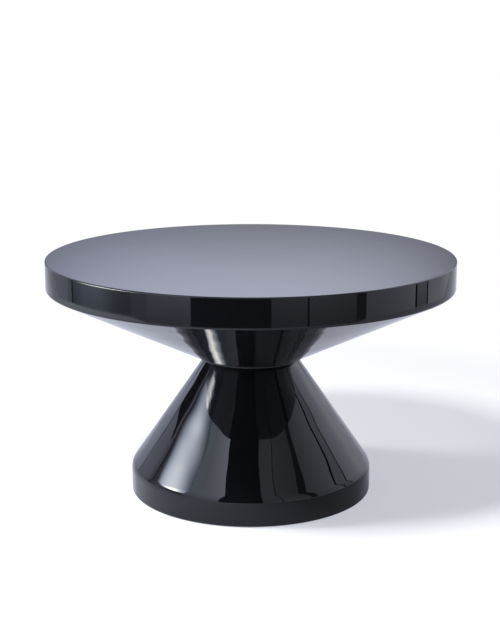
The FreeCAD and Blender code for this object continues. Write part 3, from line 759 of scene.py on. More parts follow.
class TABLE_OT_inner_frame(bpy.types.Operator):
    """Finish the boards and the steel that keep the shape of their solids"""

    bl_idname = "cocktail_table.inner_frame"
    bl_label = "Boards and column"

    def execute(self, context):
        kept = {
            "birch_board": ("tabletop_core", "rim_ring", "waist_plug", "base_ring"),
            "black_board": ("base_board",),
            "black_steel": ("ballast_plate", "column_tube", "column_top_flange", "column_end_plug"),
        }
        for slot, nodes in kept.items():
            for node in nodes:
                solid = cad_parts[node]
                solid.data.materials.clear()
                solid.data.materials.append(finish_for(slot))
        return {"FINISHED"}


# Details of the screws and bolts: lengths in metres, or shares of a radius, a width or a pitch
HEAD_LAND = 0.0003
PAN_ROUNDING = 0.0016
PLAIN_NECK = 0.004
WOOD_GROOVE = 0.32
METAL_GROOVE = 0.5
INSERT_GROOVE = 0.35
CHAMFERED_FACE = 0.475
CHAMFER_ANGLE = math.radians(30)


def cross_recess(face, head):
    """Profile of a tapering cross slot, from its floor down to the face of a head."""
    arm = head * 0.56
    width = head * 0.26
    return [
        Corner(0.0, face + head * 0.52),
        Corner(arm * 0.45, face + head * 0.48, slots=width * 0.7),
        Corner(arm, face, slots=width),
    ]


def wood_thread(seat, tip, shank, pitch):
    """Profile of a wood screw from its plain neck to its point."""
    groove = shank * WOOD_GROOVE
    start = seat + PLAIN_NECK
    return [
        Corner(shank, start),
        Corner(shank, start + pitch, thread=groove),
        Corner(shank, tip - shank * 2, thread=groove),
        Corner(shank * 0.25, tip - shank * 0.3, thread=shank * 0.1),
        Corner(0.0, tip),
    ]


class TABLE_OT_wood_screws(bpy.types.Operator):
    """Turn the countersunk screws of the base board and the pan-head screws of the column's flange"""

    bl_idname = "cocktail_table.wood_screws"
    bl_label = "Wood screws"

    def execute(self, context):
        sizes = context.scene.fastener_sizes
        pitch = sizes.screw_pitch
        face, tip = bottom("base_board_screws"), top("base_board_screws")
        head, shank = sizes.screw_head / 2, sizes.screw_shank / 2
        neck = face + head - shank
        profile = turning_profile([
            *cross_recess(face, head),
            Corner(head - HEAD_LAND, face),
            Corner(head, face + HEAD_LAND),
            Corner(shank, neck + HEAD_LAND),
            *wood_thread(neck, tip, shank, pitch),
        ], pitch=pitch)
        circle = math.hypot(*middle("glide_foot_1"))
        add_turned(
            "board_screws", "base_board_screws", "zinc_steel", profile, pitch=pitch, copies=BOARD_SCREWS,
            circle=circle, first_angle=FIRST_BOARD_SCREW,
        )

        face, tip = bottom("flange_screws"), top("flange_screws")
        head, shank = sizes.flange_head / 2, sizes.flange_shank / 2
        seat = face + sizes.flange_head_height
        profile = turning_profile([
            *cross_recess(face, head),
            Corner(head, face, PAN_ROUNDING),
            Corner(head, seat),
            Corner(shank, seat),
            *wood_thread(seat, tip, shank, pitch),
        ], pitch=pitch)
        circle = reach("column_top_flange") - sizes.flange_inset
        add_turned(
            "flange_wood_screws", "flange_screws", "zinc_steel", profile, pitch=pitch, copies=FLANGE_SCREWS,
            circle=circle,
        )
        return {"FINISHED"}


def hexagon(flats):
    """Radius of a hexagon's corners, radius of its chamfered face, and height of the chamfer."""
    corner_radius = flats / math.sqrt(3)
    face = flats * CHAMFERED_FACE
    return corner_radius, face, (corner_radius - face) * math.tan(CHAMFER_ANGLE)


def hexagon_bolt(node, thread_across, flats, head_height, pitch):
    """Profile of a bolt that points up: chamfered hexagon head below, then its threaded shank."""
    face, tip = bottom(node), top(node)
    seat = face + head_height
    shank = thread_across / 2
    corner_radius, chamfered, chamfer = hexagon(flats)
    groove = pitch * METAL_GROOVE
    return turning_profile([
        Corner(0.0, face),
        Corner(chamfered, face, flats=flats),
        Corner(corner_radius, face + chamfer, flats=flats),
        Corner(corner_radius, seat, flats=flats),
        Corner(shank, seat),
        Corner(shank, seat + pitch * 2),
        Corner(shank, seat + pitch * 3, thread=groove),
        Corner(shank, tip - pitch, thread=groove),
        Corner(shank - groove, tip),
        Corner(0.0, tip),
    ], pitch=pitch)


def washer(node, hole, across):
    """Profile of a stamped washer, rounded where the punch went in."""
    low, high = bottom(node), top(node)
    burr = (high - low) * 0.2
    return turning_profile([
        Corner(hole, low, burr),
        Corner(across, low, burr),
        Corner(across, high),
        Corner(hole, high),
    ], closed=True)


class TABLE_OT_bolts(bpy.types.Operator):
    """Turn the bolts and washers of the column and the ballast plate"""

    bl_idname = "cocktail_table.bolts"
    bl_label = "Bolts and washers"

    def execute(self, context):
        sizes = context.scene.fastener_sizes
        pitch = sizes.column_bolt_pitch
        profile = hexagon_bolt(
            "column_bolt", sizes.column_bolt, sizes.column_bolt_flats, sizes.column_bolt_head, pitch
        )
        add_turned("column_hex_bolt", "column_bolt", "zinc_steel", profile, pitch=pitch)
        hole = sizes.column_bolt / 2 + sizes.hole_gap
        profile = washer("column_washer", hole, reach("column_washer"))
        add_turned("column_bolt_washer", "column_washer", "zinc_steel", profile, segments=ROUND_SEGMENTS)

        pitch = sizes.stem_pitch
        ring = {"copies": PLATE_BOLTS, "circle": middle_of_first("ballast_washers")}
        profile = hexagon_bolt(
            "ballast_bolts", sizes.plate_bolt, sizes.plate_bolt_flats, sizes.plate_bolt_head, pitch
        )
        add_turned("plate_hex_bolts", "ballast_bolts", "zinc_steel", profile, pitch=pitch, **ring)
        hole = sizes.plate_bolt / 2 + sizes.hole_gap
        profile = washer("ballast_washers", hole, reach("ballast_washers") - ring["circle"])
        add_turned("plate_bolt_washers", "ballast_washers", "zinc_steel", profile, **ring)
        return {"FINISHED"}


class TABLE_OT_glide_inserts(bpy.types.Operator):
    """Turn the flanged inserts with their inner thread"""

    bl_idname = "cocktail_table.glide_inserts"
    bl_label = "Glide inserts"

    def execute(self, context):
        sizes = context.scene.fastener_sizes
        low, high = bottom("glide_inserts"), top("glide_inserts")
        pitch = sizes.stem_pitch
        bore = sizes.stem / 2 + sizes.thread_gap
        barrel = bore + sizes.insert_wall
        seat = low + sizes.insert_flange
        groove = -pitch * INSERT_GROOVE
        lead_in = 0.0006
        rounding = 0.0004
        across, along = middle("glide_foot_1")
        flange = reach("glide_inserts") - across
        profile = turning_profile([
            Corner(bore, high - lead_in, thread=groove),
            Corner(bore, low + lead_in, thread=groove),
            Corner(bore - groove, low),
            Corner(flange, low, rounding),
            Corner(flange, seat),
            Corner(barrel, seat),
            Corner(barrel, high, rounding),
            Corner(bore - groove, high),
            Corner(bore, high - lead_in, thread=groove),
        ], pitch=pitch)
        add_turned(
            "threaded_inserts", "glide_inserts", "zinc_steel", profile, pitch=pitch, copies=len(GLIDES),
            circle=math.hypot(across, along), first_angle=math.atan2(along, across),
        )
        return {"FINISHED"}


class TABLE_OT_glides(bpy.types.Operator):
    """Turn the levelling glides: threaded stems, moulded feet and rubber soles"""

    bl_idname = "cocktail_table.glides"
    bl_label = "Levelling glides"

    def stem_profile(self, sizes, node):
        """Button, neck, spanner collar and thread, from below."""
        low, high = bottom(node), top(node)
        pitch = sizes.stem_pitch
        groove = pitch * METAL_GROOVE
        rounding = 0.0004
        end_chamfer = 0.001
        button, neck, stem = sizes.button / 2, sizes.stem_neck / 2, sizes.stem / 2
        button_top = low + sizes.button_height
        collar_low = button_top + sizes.swivel_gap * 2 + sizes.foot_floor
        collar_high = collar_low + sizes.collar_height
        flats = sizes.collar_flats
        corner_radius, chamfered, chamfer = hexagon(flats)
        return turning_profile([
            Corner(0.0, low),
            Corner(button, low, rounding),
            Corner(button, button_top, rounding),
            Corner(neck, button_top),
            Corner(neck, collar_low),
            Corner(chamfered, collar_low, flats=flats),
            Corner(corner_radius, collar_low + chamfer, flats=flats),
            Corner(corner_radius, collar_high - chamfer, flats=flats),
            Corner(chamfered, collar_high, flats=flats),
            Corner(stem - groove, collar_high),
            Corner(stem - groove, collar_high + pitch * 0.5),
            Corner(stem, collar_high + pitch, thread=groove),
            Corner(stem, high - pitch, thread=groove),
            Corner(stem - end_chamfer, high),
            Corner(0.0, high),
        ], pitch=pitch)

    def foot_profile(self, sizes, node):
        """Shallow cup, closed over the stem's button, with a dished ring round the stem."""
        low, high = bottom(node), top(node)
        across = half_width(node)
        neck = sizes.stem_neck / 2 + sizes.swivel_gap
        cup = sizes.button / 2 + sizes.swivel_gap
        cup_floor = low + sizes.foot_floor
        cup_roof = high - sizes.foot_floor
        dish = high - 0.0004
        dish_edge, dish_rim = neck + 0.0030, neck + 0.0035
        low_rounding, side_rounding, top_rounding = 0.0005, 0.0012, 0.0010
        return turning_profile([
            Corner(0.0, low),
            Corner(across, low, low_rounding),
            Corner(across, cup_floor, side_rounding),
            Corner(across - sizes.foot_taper, high, top_rounding),
            Corner(dish_rim, high),
            Corner(dish_edge, dish),
            Corner(neck, dish),
            Corner(neck, cup_roof),
            Corner(cup, cup_roof),
            Corner(cup, cup_floor),
            Corner(0.0, cup_floor),
        ])

    def sole_profile(self, node):
        """Pad with two ring grooves and a hollow on its underside."""
        low, high = bottom(node), top(node)
        across = half_width(node)
        groove = 0.0005
        tread = 0.0012
        rounding = 0.0004
        profile = [Corner(0.0, low + groove)]
        for share in (0.30, 0.58, 0.84):
            ring = across * share
            profile += [
                Corner(ring - groove, low + groove), Corner(ring, low),
                Corner(ring + tread, low), Corner(ring + tread + groove, low + groove),
            ]
        profile[-2:] = [Corner(across, low, rounding), Corner(across, high), Corner(0.0, high)]
        return turning_profile(profile)

    def execute(self, context):
        sizes = context.scene.fastener_sizes
        for number in GLIDES:
            stem, foot, sole = f"glide_stem_{number}", f"glide_foot_{number}", f"glide_sole_{number}"
            across, along = middle(foot)
            place = {"circle": math.hypot(across, along), "first_angle": math.atan2(along, across)}
            add_turned(
                f"levelling_stem_{number}", stem, "zinc_steel", self.stem_profile(sizes, stem),
                body=f"glide_{number}_stem", pitch=sizes.stem_pitch, **place,
            )
            add_turned(
                f"levelling_foot_{number}", foot, "black_nylon", self.foot_profile(sizes, foot),
                body=f"glide_{number}_foot", segments=ROUND_SEGMENTS, **place,
            )
            add_turned(
                f"levelling_sole_{number}", sole, "grey_rubber", self.sole_profile(sole),
                body=f"glide_{number}_foot", segments=ROUND_SEGMENTS, **place,
            )
        return {"FINISHED"}


# Stage

Panel_card = namedtuple("Panel_card", "name start end tint foot rows lean", defaults=((0.0, 0.0),))
Card_row = namedtuple("Card_row", "heights glows")
Lamp_place = namedtuple("Lamp_place", "size bearing elevation distance")

# Tints of the panels
COOL = (0.91, 0.955, 1.165)
CLEAR = (0.935, 0.965, 1.125)
COLD = (0.80, 0.93, 1.16)
DUSK = (0.88, 0.94, 1.20)
WARM = (1.03, 1.00, 0.96)
WHITE = (1.0, 1.0, 1.0, 1.0)

# Distances of the panels from the table's axis or from the floor, and degrees between a bent one's columns
CARD_RADIUS = 3.5
HEAT_RADIUS = 3.48
FRONT_RADIUS = 3.62
RING_RADIUS = 3.7
EDGE_RADIUS = 0.55
BACK_DISTANCE = 2.2
CEILING_HEIGHT = 2.7
CARD_STEP = 3.0

# Heights that several panels share
PIT = -0.9
FOOT = -0.43
BROW = -0.28
CROWN = 5.0

# Grids of the panels: where they start, how far they go and into how many points that is divided, with
# bearings in degrees and the rest in metres
KEY_BEARINGS = (-108.4, 44.4, 41)
KEY_HEIGHTS = (-0.52, 4.6, 93)
EDGE_BEARINGS = (-82.0, 40.0, 21)
BACK_COLUMNS = (-1.6, 3.2, 65)
RING_BEARINGS = (0.0, 360.0, 61)
CEILING_HALF = 1.3
CEILING_POINTS = 21

# The side panel: its glow up to which all pieces mirror it, the glow of its heat and of the core of that,
# and the heat at which it has turned warm
PLATEAU = 0.55
HEAT_GLOW = 21.0
CORE_GLOW = 20.0
WARM_HEAT = 22.0

# The strip beside the rim
EDGE_GLOW = 33.0
EDGE_HEIGHTS = (0.325, 0.392)

# Lamps: size in metres, bearing and elevation in degrees, distance in metres
SIDE_LAMP = Lamp_place(size=0.48, bearing=-88.2, elevation=24.4, distance=2.6)
FRONT_LAMP = Lamp_place(size=0.56, bearing=-46.8, elevation=60.9, distance=2.6)

# Width of the camera's frame in millimetres, and half the floor's width in metres
SENSOR_WIDTH = 36.0
FLOOR_HALF = 6.0


def rows(*given):
    """Rows of a panel from plain numbers: a height, or two, and the glow at both ends."""
    listed = []
    for height, first, last in given:
        heights = height if isinstance(height, tuple) else (height, height)
        listed.append(Card_row(heights, (first, last)))
    return tuple(listed)


# Panels that the lacquer mirrors, in a wide ring: bearings in degrees from the camera's side, positive to
# the right, the share of the glow that is left at the foot, then rows from the lowest up, each with its
# height in metres and its glow at the start and at the end, and how far the two sides lean, in degrees for
# each metre of height. They reach below the floor, which mirrors see only near the table.
CARDS = (
    Panel_card("card_right_1", 10.2, 28.7, CLEAR, 0.50, rows((BROW, 0.49, 0.54), (CROWN, 0.52, 0.55))),
    Panel_card("card_right_2", 29.7, 55.6, CLEAR, 0.50, rows((BROW, 0.62, 0.51), (CROWN, 0.43, 0.28))),
    Panel_card("card_right_gap", 55.6, 61.4, CLEAR, 0.9, rows((BROW, 0.09, 0.09), (CROWN, 0.05, 0.05))),
    Panel_card("card_right_3", 61.4, 96.5, CLEAR, 0.78, rows(
        (BROW, 0.78, 1.00), (0.3, 0.61, 0.84), (CROWN, 0.49, 1.09),
    ), (0.0, -0.95)),
    Panel_card("card_right_4", 98.0, 107.2, CLEAR, 0.56, rows(
        (BROW, 0.72, 0.62), (0.3, 0.58, 0.53), (CROWN, 1.41, 1.46),
    ), (-0.8, -1.3)),
    Panel_card("card_right_5", 108.4, 122.0, CLEAR, 1.0, rows(
        (BROW, 0.85, 0.68), (0.3, 0.89, 0.91), (CROWN, 2.05, 2.50),
    ), (-1.3, 0.0)),
    Panel_card("card_right_6", 122.0, 135.0, CLEAR, 1.0, rows(
        (BROW, 0.68, 0.73), (0.3, 0.91, 0.92), (1.6, 1.35, 1.85), (3.2, 1.35, 1.85),
    )),
    Panel_card("card_right_7", 135.0, 164.0, CLEAR, 0.9, rows(
        (BROW, 0.51, 0.51), (1.6, 1.60, 1.60), (3.2, 1.60, 1.60),
    )),
    Panel_card("card_left_1", -54.5, -30.5, COOL, 0.45, rows(
        (BROW, 1.00, 1.18), (0.2, 0.89, 1.23), (CROWN, 1.90, 2.95),
    )),
    Panel_card("card_left_2", -64.0, -54.5, COLD, 0.6, rows(
        (BROW, 0.62, 0.70), (0.2, 0.79, 0.90), (CROWN, 2.30, 2.15),
    )),
    Panel_card("card_left_strip", -113.9, -109.8, COOL, 0.9, rows((BROW, 0.48, 0.48), (2.5, 0.65, 0.65))),
    Panel_card("board_left_1", -130.6, -113.9, DUSK, 0.95, rows(
        (BROW, 0.45, 0.62), ((0.91, 1.31), 0.84, 0.84),
    )),
    Panel_card("board_left_2", -163.0, -132.0, DUSK, 0.7, rows(
        (BROW, 0.41, 0.41), (0.05, 0.80, 0.80), ((0.80, 0.89), 1.25, 1.25),
    )),
    Panel_card("rear_card", 150.0, 205.0, COOL, None, rows((1.9, 0.9, 0.9), (4.2, 1.4, 1.4))),
)

# The card in front, which stands a little behind the others and which the top alone mirrors
FRONT_CARD = Panel_card("front_card", -36.0, 36.0, COOL, None, rows(
    (0.70, 0.40, 0.40), (1.5, 1.05, 1.05), (2.7, 0.30, 0.30),
))

# The wall behind: heights in metres and the glow there
BACK_ROWS = (
    (0.36, 0.45), (0.65, 0.467), (0.70, 0.623), (0.75, 0.807), (0.80, 0.990), (0.85, 1.145), (0.90, 1.24),
    (1.10, 1.30), (1.70, 0.10),
)

# The soft ring round everything: heights in metres and the glow there
RING_ROWS = ((0.75, 0.30), (1.3, 0.65), (2.2, 0.78), (4.0, 0.65), (7.0, 0.45))


def round_place(bearing, radius, height):
    """A place round the table from its bearing in degrees."""
    angle = math.radians(bearing)
    return radius * math.sin(angle), -radius * math.cos(angle), height


def evenly(start, span, count):
    """So many numbers at even steps, from a start over a span."""
    return [start + span * step / (count - 1) for step in range(count)]


def soft_step(value, start, end):
    """Nothing before the start, all after the end, and a smooth change between."""
    share = min(1.0, max(0.0, (value - start) / (end - start)))
    return share * share * (3.0 - 2.0 * share)


def hump(value, centre, width):
    """A bell that is 1 at its centre."""
    return math.exp(-((value - centre) / width) ** 2)


def tinted(glow, tint):
    """A glow in a tint."""
    return tuple(glow * channel for channel in tint)


def tint_between(first, second, share):
    """A tint between two."""
    return tuple(start + (end - start) * share for start, end in zip(first, second))


def card_glow_material(name, clear):
    """Glow that only mirrors show, its strength stored on the card, alone or over what lies behind it."""
    material = bpy.data.materials.new(name)
    tree = emptied_tree(material)
    stored = add_node(tree, "ShaderNodeAttribute", attribute_name="glow", attribute_type="GEOMETRY")
    lamp = add_node(tree, "ShaderNodeEmission", {"Color": stored.outputs["Color"], "Strength": 1.0})
    shown = lamp.outputs["Emission"]
    if clear:
        behind = tree.nodes.new("ShaderNodeBsdfTransparent").outputs["BSDF"]
        shown = add_node(tree, "ShaderNodeAddShader", {0: shown, 1: behind}).outputs["Shader"]
    end = tree.nodes.new("ShaderNodeOutputMaterial")
    tree.links.new(shown, end.inputs["Surface"])
    material.cycles.emission_sampling = "NONE"
    return material


def stand_card(name, points, columns, material, seen_in=None):
    """A mesh of rows and columns with a glow at each point, seen by mirrors alone, open where it is dark.

    Where a group of pieces is named, only those mirror it.
    """
    places = [place for place, _ in points]
    glows = [glow for _, glow in points]
    faces = []
    for start in range(len(points) - columns):
        corners = (start, start + 1, start + columns + 1, start + columns)
        if (start + 1) % columns and any(max(glows[corner]) > 0.0 for corner in corners):
            faces.append(corners)
    mesh = bpy.data.meshes.new(name)
    mesh.from_pydata(places, [], faces)
    layer = mesh.attributes.new("glow", "FLOAT_COLOR", "POINT")
    for point, glow in zip(layer.data, glows):
        point.color = (*glow, 1.0)
    mesh.materials.append(material)
    card = bpy.data.objects.new(name, mesh)
    bpy.context.scene.collection.objects.link(card)
    card.visible_camera = False
    card.visible_diffuse = False
    card.visible_shadow = False
    card.visible_volume_scatter = False
    if seen_in:
        card.light_linking.receiver_collection = mirrors(seen_in)


def curved_card(card, material, radius=CARD_RADIUS, seen_in=None):
    """A panel bent round the table, its glow blended between its corners."""
    columns = max(2, math.ceil((card.end - card.start) / CARD_STEP)) + 1
    listed = list(card.rows)
    if card.foot is not None:
        dimmed = tuple(glow * card.foot for glow in listed[0].glows)
        listed[:0] = [Card_row((PIT, PIT), dimmed), Card_row((FOOT, FOOT), dimmed)]
    points = []
    for row in listed:
        for share in evenly(0.0, 1.0, columns):
            height = row.heights[0] + (row.heights[1] - row.heights[0]) * share
            start = card.start + card.lean[0] * (height - PIT)
            end = card.end + card.lean[1] * (height - PIT)
            glow = row.glows[0] + (row.glows[1] - row.glows[0]) * share
            place = round_place(start + (end - start) * share, radius, height)
            points.append((place, tinted(glow, card.tint)))
    stand_card(card.name, points, columns, material, seen_in)


def key_glow(bearing, height):
    """The large side panel's even glow, and its heat above the sharp lower edge of its lit part."""
    even = 0.30 + 0.29 * soft_step(bearing, -109.0, -96.0) - 0.24 * soft_step(bearing, -88.0, -70.0)

    # Below floor level the even glow gathers in the middle and fades towards its foot
    low = 1.0 - soft_step(height, -0.27, -0.15)
    tilt = 0.78 + 0.67 * soft_step(height, -0.44, -0.26)
    tilt *= 0.85 + 0.55 * hump(bearing, -86.0, 12.0)
    even *= 1.0 + low * (tilt - 1.0)

    # The heat is wider high up, fades towards both ends and has a hot core
    edge = soft_step(height, 0.88, 1.06)
    wide = soft_step(height, 1.15, 1.75)
    across = soft_step(bearing, -96.0 - 13.0 * wide, -87.0 + 6.0 * wide)
    across *= 1.0 - soft_step(bearing, -82.0, -57.0)
    up = hump(height, 1.25, 1.26)
    core = hump(bearing, -80.0, 5.0) * hump(height, 1.26, 0.45)
    return even, edge * (HEAT_GLOW * across * up + CORE_GLOW * core)


def key_cards(plain, clear):
    """The large side panel: its even part, and in front of it the heat, which the cones alone mirror."""
    bearings = evenly(*KEY_BEARINGS)
    even_points = []
    hot_points = []
    for height in evenly(*KEY_HEIGHTS):
        for bearing in bearings:
            even, heat = key_glow(bearing, height)
            beyond = max(0.0, heat - PLATEAU)
            hot_tint = tint_between(COLD, WARM, min(1.0, beyond / WARM_HEAT))
            even_place = round_place(bearing, CARD_RADIUS, height)
            hot_place = round_place(bearing, HEAT_RADIUS, height)
            even_points.append((even_place, tinted(even + min(heat, PLATEAU), COLD)))
            hot_points.append((hot_place, tinted(beyond, hot_tint)))
    stand_card("key_panel", even_points, len(bearings), plain)
    stand_card("key_heat", hot_points, len(bearings), clear, CONE_MIRRORS)


def edge_card(material):
    """A low strip beside the rim, which only the top's rounded edge can mirror."""
    bearings = evenly(*EDGE_BEARINGS)
    points = []
    for height in EDGE_HEIGHTS:
        for bearing in bearings:
            glow = EDGE_GLOW * soft_step(bearing, -82.0, -65.0) * (1.0 - soft_step(bearing, -58.0, -42.0))
            points.append((round_place(bearing, EDGE_RADIUS, height), (glow, glow, glow)))
    stand_card("edge_strip", points, len(bearings), material, TOP_MIRRORS)


def back_card(material):
    """Soft glow on the wall behind, which the table's top mirrors, bluer to the left."""
    columns = evenly(*BACK_COLUMNS)
    points = []
    for height, level in BACK_ROWS:
        for across in columns:
            fall = max(0.45, 1.0 - (abs(across + 0.03) / 0.86) ** 3)
            left = min(1.0, max(0.0, -across / 0.6))
            glow = tinted(level * fall, tint_between(COOL, DUSK, left))
            points.append(((across, BACK_DISTANCE, height), glow))
    stand_card("back_glow", points, len(columns), material)


def ring_card(material):
    """Soft glow all round behind the panels, which the top alone mirrors, for views from higher up."""
    bearings = evenly(*RING_BEARINGS)
    points = []
    for height, level in RING_ROWS:
        for bearing in bearings:
            points.append((round_place(bearing, RING_RADIUS, height), tinted(level, COOL)))
    stand_card("ring_glow", points, len(bearings), material, TOP_MIRRORS)


def ceiling_card(material):
    """Soft glow overhead, for views from above."""
    steps = evenly(-CEILING_HALF, CEILING_HALF * 2, CEILING_POINTS)
    points = []
    for along in steps:
        for across in steps:
            away = math.hypot(across, along) / CEILING_HALF
            glow = 0.75 * (1.0 - 0.7 * soft_step(away, 0.1, 1.2))
            points.append(((across, along, CEILING_HEIGHT), tinted(glow, COOL)))
    stand_card("ceiling_glow", points, len(steps), material)


class TABLE_OT_stage(bpy.types.Operator):
    """Set up the floor, the panels that the lacquer mirrors, the lamps and the camera"""

    bl_idname = "cocktail_table.stage"
    bl_label = "Stage"

    def mirrored_floor(self, tree, coordinates, away):
        """The floor in mirrors, as painted light and shadow near the foot and farther out, and where it ends.
        """
        split = add_node(tree, "ShaderNodeSeparateXYZ", {"Vector": coordinates}).outputs

        def between(share, first, second):
            """One number or another, by a share."""
            change = calculate(tree, "SUBTRACT", second, first)
            return calculate(tree, "MULTIPLY_ADD", change, share, first)

        # Painted light and shadow near the foot: brighter on the left, where the side lamp falls, and darker
        # on the right, in the table's shadow
        front = rescale(tree, split["X"], -0.16, 0.16, 0.96, 0.25)
        behind = rescale(tree, split["X"], -0.16, 0.16, 0.83, 0.70)
        near = between(rescale(tree, split["Y"], -0.05, 0.25, 0.0, 1.0, smooth=True), front, behind)
        # Farther out, a painted pool of the side lamp's light on the left, fading towards the back
        left = rescale(tree, split["Y"], -0.1, 1.0, 1.55, 0.48)
        right = rescale(tree, split["Y"], 0.4, 1.1, 0.60, 0.50)
        aside = between(rescale(tree, split["X"], -1.35, -0.85, 1.0, 0.0), 0.78, left)
        aside = between(rescale(tree, split["X"], 0.85, 1.35, 0.0, 1.0), aside, right)
        painted_floor_light_and_shadow = between(rescale(tree, away, 0.45, 0.90, 0.0, 1.0, smooth=True), near, aside)
        limit = calculate(
            tree, "ADD", rescale(tree, split["Y"], -1.4, -0.8, 1.55, 1.655),
            rescale(tree, split["Y"], 0.85, 1.35, 0.0, 0.30),
        )
        over = calculate(tree, "SUBTRACT", away, limit)
        return painted_floor_light_and_shadow, rescale(tree, over, -0.004, 0.004, 0.0, 1.0)

    def floor(self):
        """White floor that takes the shadow and fades into the background, open from below, with a painted
        glow near the foot and painted light and shadow where mirrors see it.
        """
        near_left, near_right = (-FLOOR_HALF, -FLOOR_HALF, 0.0), (FLOOR_HALF, -FLOOR_HALF, 0.0)
        far_left, far_right = (-FLOOR_HALF, FLOOR_HALF, 0.0), (FLOOR_HALF, FLOOR_HALF, 0.0)
        mesh = bpy.data.meshes.new("floor")
        mesh.from_pydata([near_left, near_right, far_right, far_left], [], [(0, 1, 2, 3)])
        material = bpy.data.materials.new("white_floor")
        tree = emptied_tree(material)
        coordinates = tree.nodes.new("ShaderNodeTexCoord").outputs["Object"]
        away = add_node(tree, "ShaderNodeVectorMath", {0: coordinates}, operation="LENGTH").outputs["Value"]
        rays = tree.nodes.new("ShaderNodeLightPath").outputs
        seen, mirrored = rays["Is Camera Ray"], rays["Is Glossy Ray"]
        seen_far = calculate(tree, "MULTIPLY", seen, rescale(tree, away, 0.75, 1.0, 0.0, 1.0, smooth=True))
        painted_floor_light_and_shadow, ended = self.mirrored_floor(tree, coordinates, away)
        mirrored_far = calculate(tree, "MULTIPLY", mirrored, ended)
        plain = add_node(tree, "ShaderNodeBsdfDiffuse", {"Color": (0.9, 0.9, 0.9, 1.0)})
        # Mirrors see the floor as an emission of painted light and shadow
        mirrored_painted_floor = add_node(tree, "ShaderNodeEmission", {"Color": (0.92, 0.95, 1.13, 1.0), "Strength": painted_floor_light_and_shadow})
        lit = add_node(tree, "ShaderNodeBsdfDiffuse", {"Color": (0.75, 0.75, 0.75, 1.0)})
        # The paper's even glow, made a little stronger near the foot as painted light that the cone throws
        # back onto the floor
        paper_glow_and_painted_bounce = add_node(tree, "ShaderNodeEmission", {
            "Color": (0.95, 0.98, 1.085, 1.0),
            "Strength": rescale(tree, away, 0.22, 0.60, 0.478, 0.437, smooth=True),
        })
        glow = add_node(tree, "ShaderNodeEmission", {"Color": WHITE, "Strength": 1.0})
        clear = tree.nodes.new("ShaderNodeBsdfTransparent").outputs["BSDF"]
        paper = add_node(tree, "ShaderNodeAddShader", {
            0: lit.outputs["BSDF"], 1: paper_glow_and_painted_bounce.outputs["Emission"],
        }).outputs["Shader"]
        direct = mix_shaders(tree, seen, plain.outputs["BSDF"], paper)
        near = mix_shaders(tree, mirrored, direct, mirrored_painted_floor.outputs["Emission"])
        far = mix_shaders(tree, seen_far, near, glow.outputs["Emission"])
        upper = mix_shaders(tree, mirrored_far, far, clear)
        below = tree.nodes.new("ShaderNodeNewGeometry").outputs["Backfacing"]
        shown = mix_shaders(tree, below, upper, clear)
        end = tree.nodes.new("ShaderNodeOutputMaterial")
        tree.links.new(shown, end.inputs["Surface"])
        material.cycles.emission_sampling = "NONE"
        mesh.materials.append(material)
        floor = bpy.data.objects.new("floor", mesh)
        bpy.context.scene.collection.objects.link(floor)

    def world(self, ambient):
        """White for the camera, a pale horizon behind for mirrors, and even light for the rest."""
        world = bpy.data.worlds.new("studio")
        tree = emptied_tree(world)
        rays = tree.nodes.new("ShaderNodeLightPath").outputs
        direction = tree.nodes.new("ShaderNodeTexCoord").outputs["Generated"]
        split = add_node(tree, "ShaderNodeSeparateXYZ", {"Vector": direction}).outputs
        behind = rescale(tree, split["Y"], 0.5, 0.8, 0.0, 1.0, smooth=True)
        low = rescale(tree, split["Z"], 0.10, 0.26, 0.68, 0.10, smooth=True)
        white = add_node(tree, "ShaderNodeBackground", {"Color": WHITE, "Strength": 1.0})
        mirrored = add_node(tree, "ShaderNodeBackground", {
            "Color": (*COOL, 1.0), "Strength": calculate(tree, "MULTIPLY", behind, low),
        })
        even = add_node(tree, "ShaderNodeBackground", {"Color": (0.99, 1.0, 1.02, 1.0), "Strength": ambient})
        others = mix_shaders(
            tree, rays["Is Glossy Ray"], even.outputs["Background"], mirrored.outputs["Background"]
        )
        all_rays = mix_shaders(tree, rays["Is Camera Ray"], others, white.outputs["Background"])
        end = tree.nodes.new("ShaderNodeOutputWorld")
        tree.links.new(all_rays, end.inputs["Surface"])
        bpy.context.scene.world = world

    def lamp(self, name, power, place):
        """A square lamp turned to the table, left out of mirrors."""
        light = bpy.data.lights.new(name, "AREA")
        light.energy = power
        light.shape = "SQUARE"
        light.size = place.size
        lamp = bpy.data.objects.new(name, light)
        level = math.radians(place.elevation)
        height = place.distance * math.sin(level)
        lamp.location = round_place(place.bearing, place.distance * math.cos(level), height)
        lamp.rotation_euler = (math.pi / 2 - level, 0.0, math.radians(place.bearing))
        lamp.visible_camera = False
        lamp.visible_glossy = False
        bpy.context.scene.collection.objects.link(lamp)

    def camera(self, settings):
        """The camera at the photograph's viewing angle."""
        view = bpy.data.cameras.new("camera")
        view.lens = settings.lens
        view.sensor_width = SENSOR_WIDTH
        camera = bpy.data.objects.new("camera", view)
        camera.location = (settings.camera_aside, -settings.camera_away, settings.camera_height)
        camera.rotation_euler = (math.pi / 2 - settings.camera_dip, 0.0, 0.0)
        bpy.context.scene.collection.objects.link(camera)
        bpy.context.scene.camera = camera

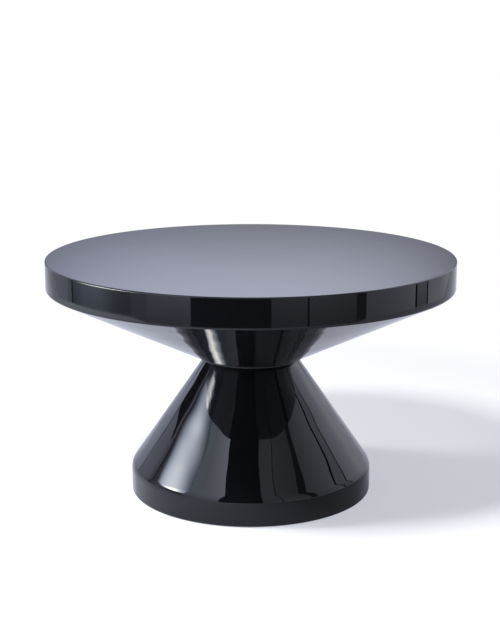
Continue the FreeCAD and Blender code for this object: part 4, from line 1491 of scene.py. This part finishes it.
    def execute(self, context):
        settings = context.scene.stage_settings
        context.scene.view_settings.view_transform = "Standard"
        glow = card_glow_material("card_glow", clear=False)
        for card in CARDS:
            curved_card(card, glow)
        curved_card(FRONT_CARD, glow, FRONT_RADIUS, TOP_MIRRORS)
        heat = card_glow_material("card_heat", clear=True)
        key_cards(glow, heat)
        edge_card(heat)
        back_card(glow)
        ring_card(glow)
        ceiling_card(glow)
        self.floor()
        self.world(settings.ambient)
        self.lamp("side_lamp", settings.key_power, SIDE_LAMP)
        self.lamp("front_lamp", settings.front_power, FRONT_LAMP)
        self.camera(settings)
        return {"FINISHED"}


OPERATORS = (
    TABLE_OT_stage, TABLE_OT_tabletop, TABLE_OT_upper_cone, TABLE_OT_lower_shell, TABLE_OT_inner_frame,
    TABLE_OT_wood_screws, TABLE_OT_bolts, TABLE_OT_glide_inserts, TABLE_OT_glides,
)


class TABLE_PT_panel(bpy.types.Panel):
    """Buttons for the table's pieces and stage"""

    bl_idname = "TABLE_PT_panel"
    bl_label = "Cocktail Table"
    bl_space_type = "VIEW_3D"
    bl_region_type = "UI"
    bl_category = "Cocktail Table"

    def draw(self, context):
        for operator in OPERATORS:
            self.layout.operator(operator.bl_idname)


GROUPS = {
    "shell_sizes": ShellSizes,
    "fastener_sizes": FastenerSizes,
    "table_finishes": TableFinishes,
    "stage_settings": StageSettings,
}


def register():
    """Make the settings, operators and panel known."""
    for name, group in GROUPS.items():
        bpy.utils.register_class(group)
        setattr(bpy.types.Scene, name, bpy.props.PointerProperty(type=group))
    for operator in OPERATORS:
        bpy.utils.register_class(operator)
    bpy.utils.register_class(TABLE_PT_panel)


def unregister():
    """Take the panel, operators and settings away again."""
    bpy.utils.unregister_class(TABLE_PT_panel)
    for operator in reversed(OPERATORS):
        bpy.utils.unregister_class(operator)
    for name, group in reversed(GROUPS.items()):
        delattr(bpy.types.Scene, name)
        bpy.utils.unregister_class(group)


def main():
    """Dress the frame and set up its stage."""
    register()
    bpy.ops.cocktail_table.stage()
    bpy.ops.cocktail_table.tabletop()
    bpy.ops.cocktail_table.upper_cone()
    bpy.ops.cocktail_table.lower_shell()
    bpy.ops.cocktail_table.inner_frame()
    bpy.ops.cocktail_table.wood_screws()
    bpy.ops.cocktail_table.bolts()
    bpy.ops.cocktail_table.glide_inserts()
    bpy.ops.cocktail_table.glides()


if __name__ == "__main__":
    main()
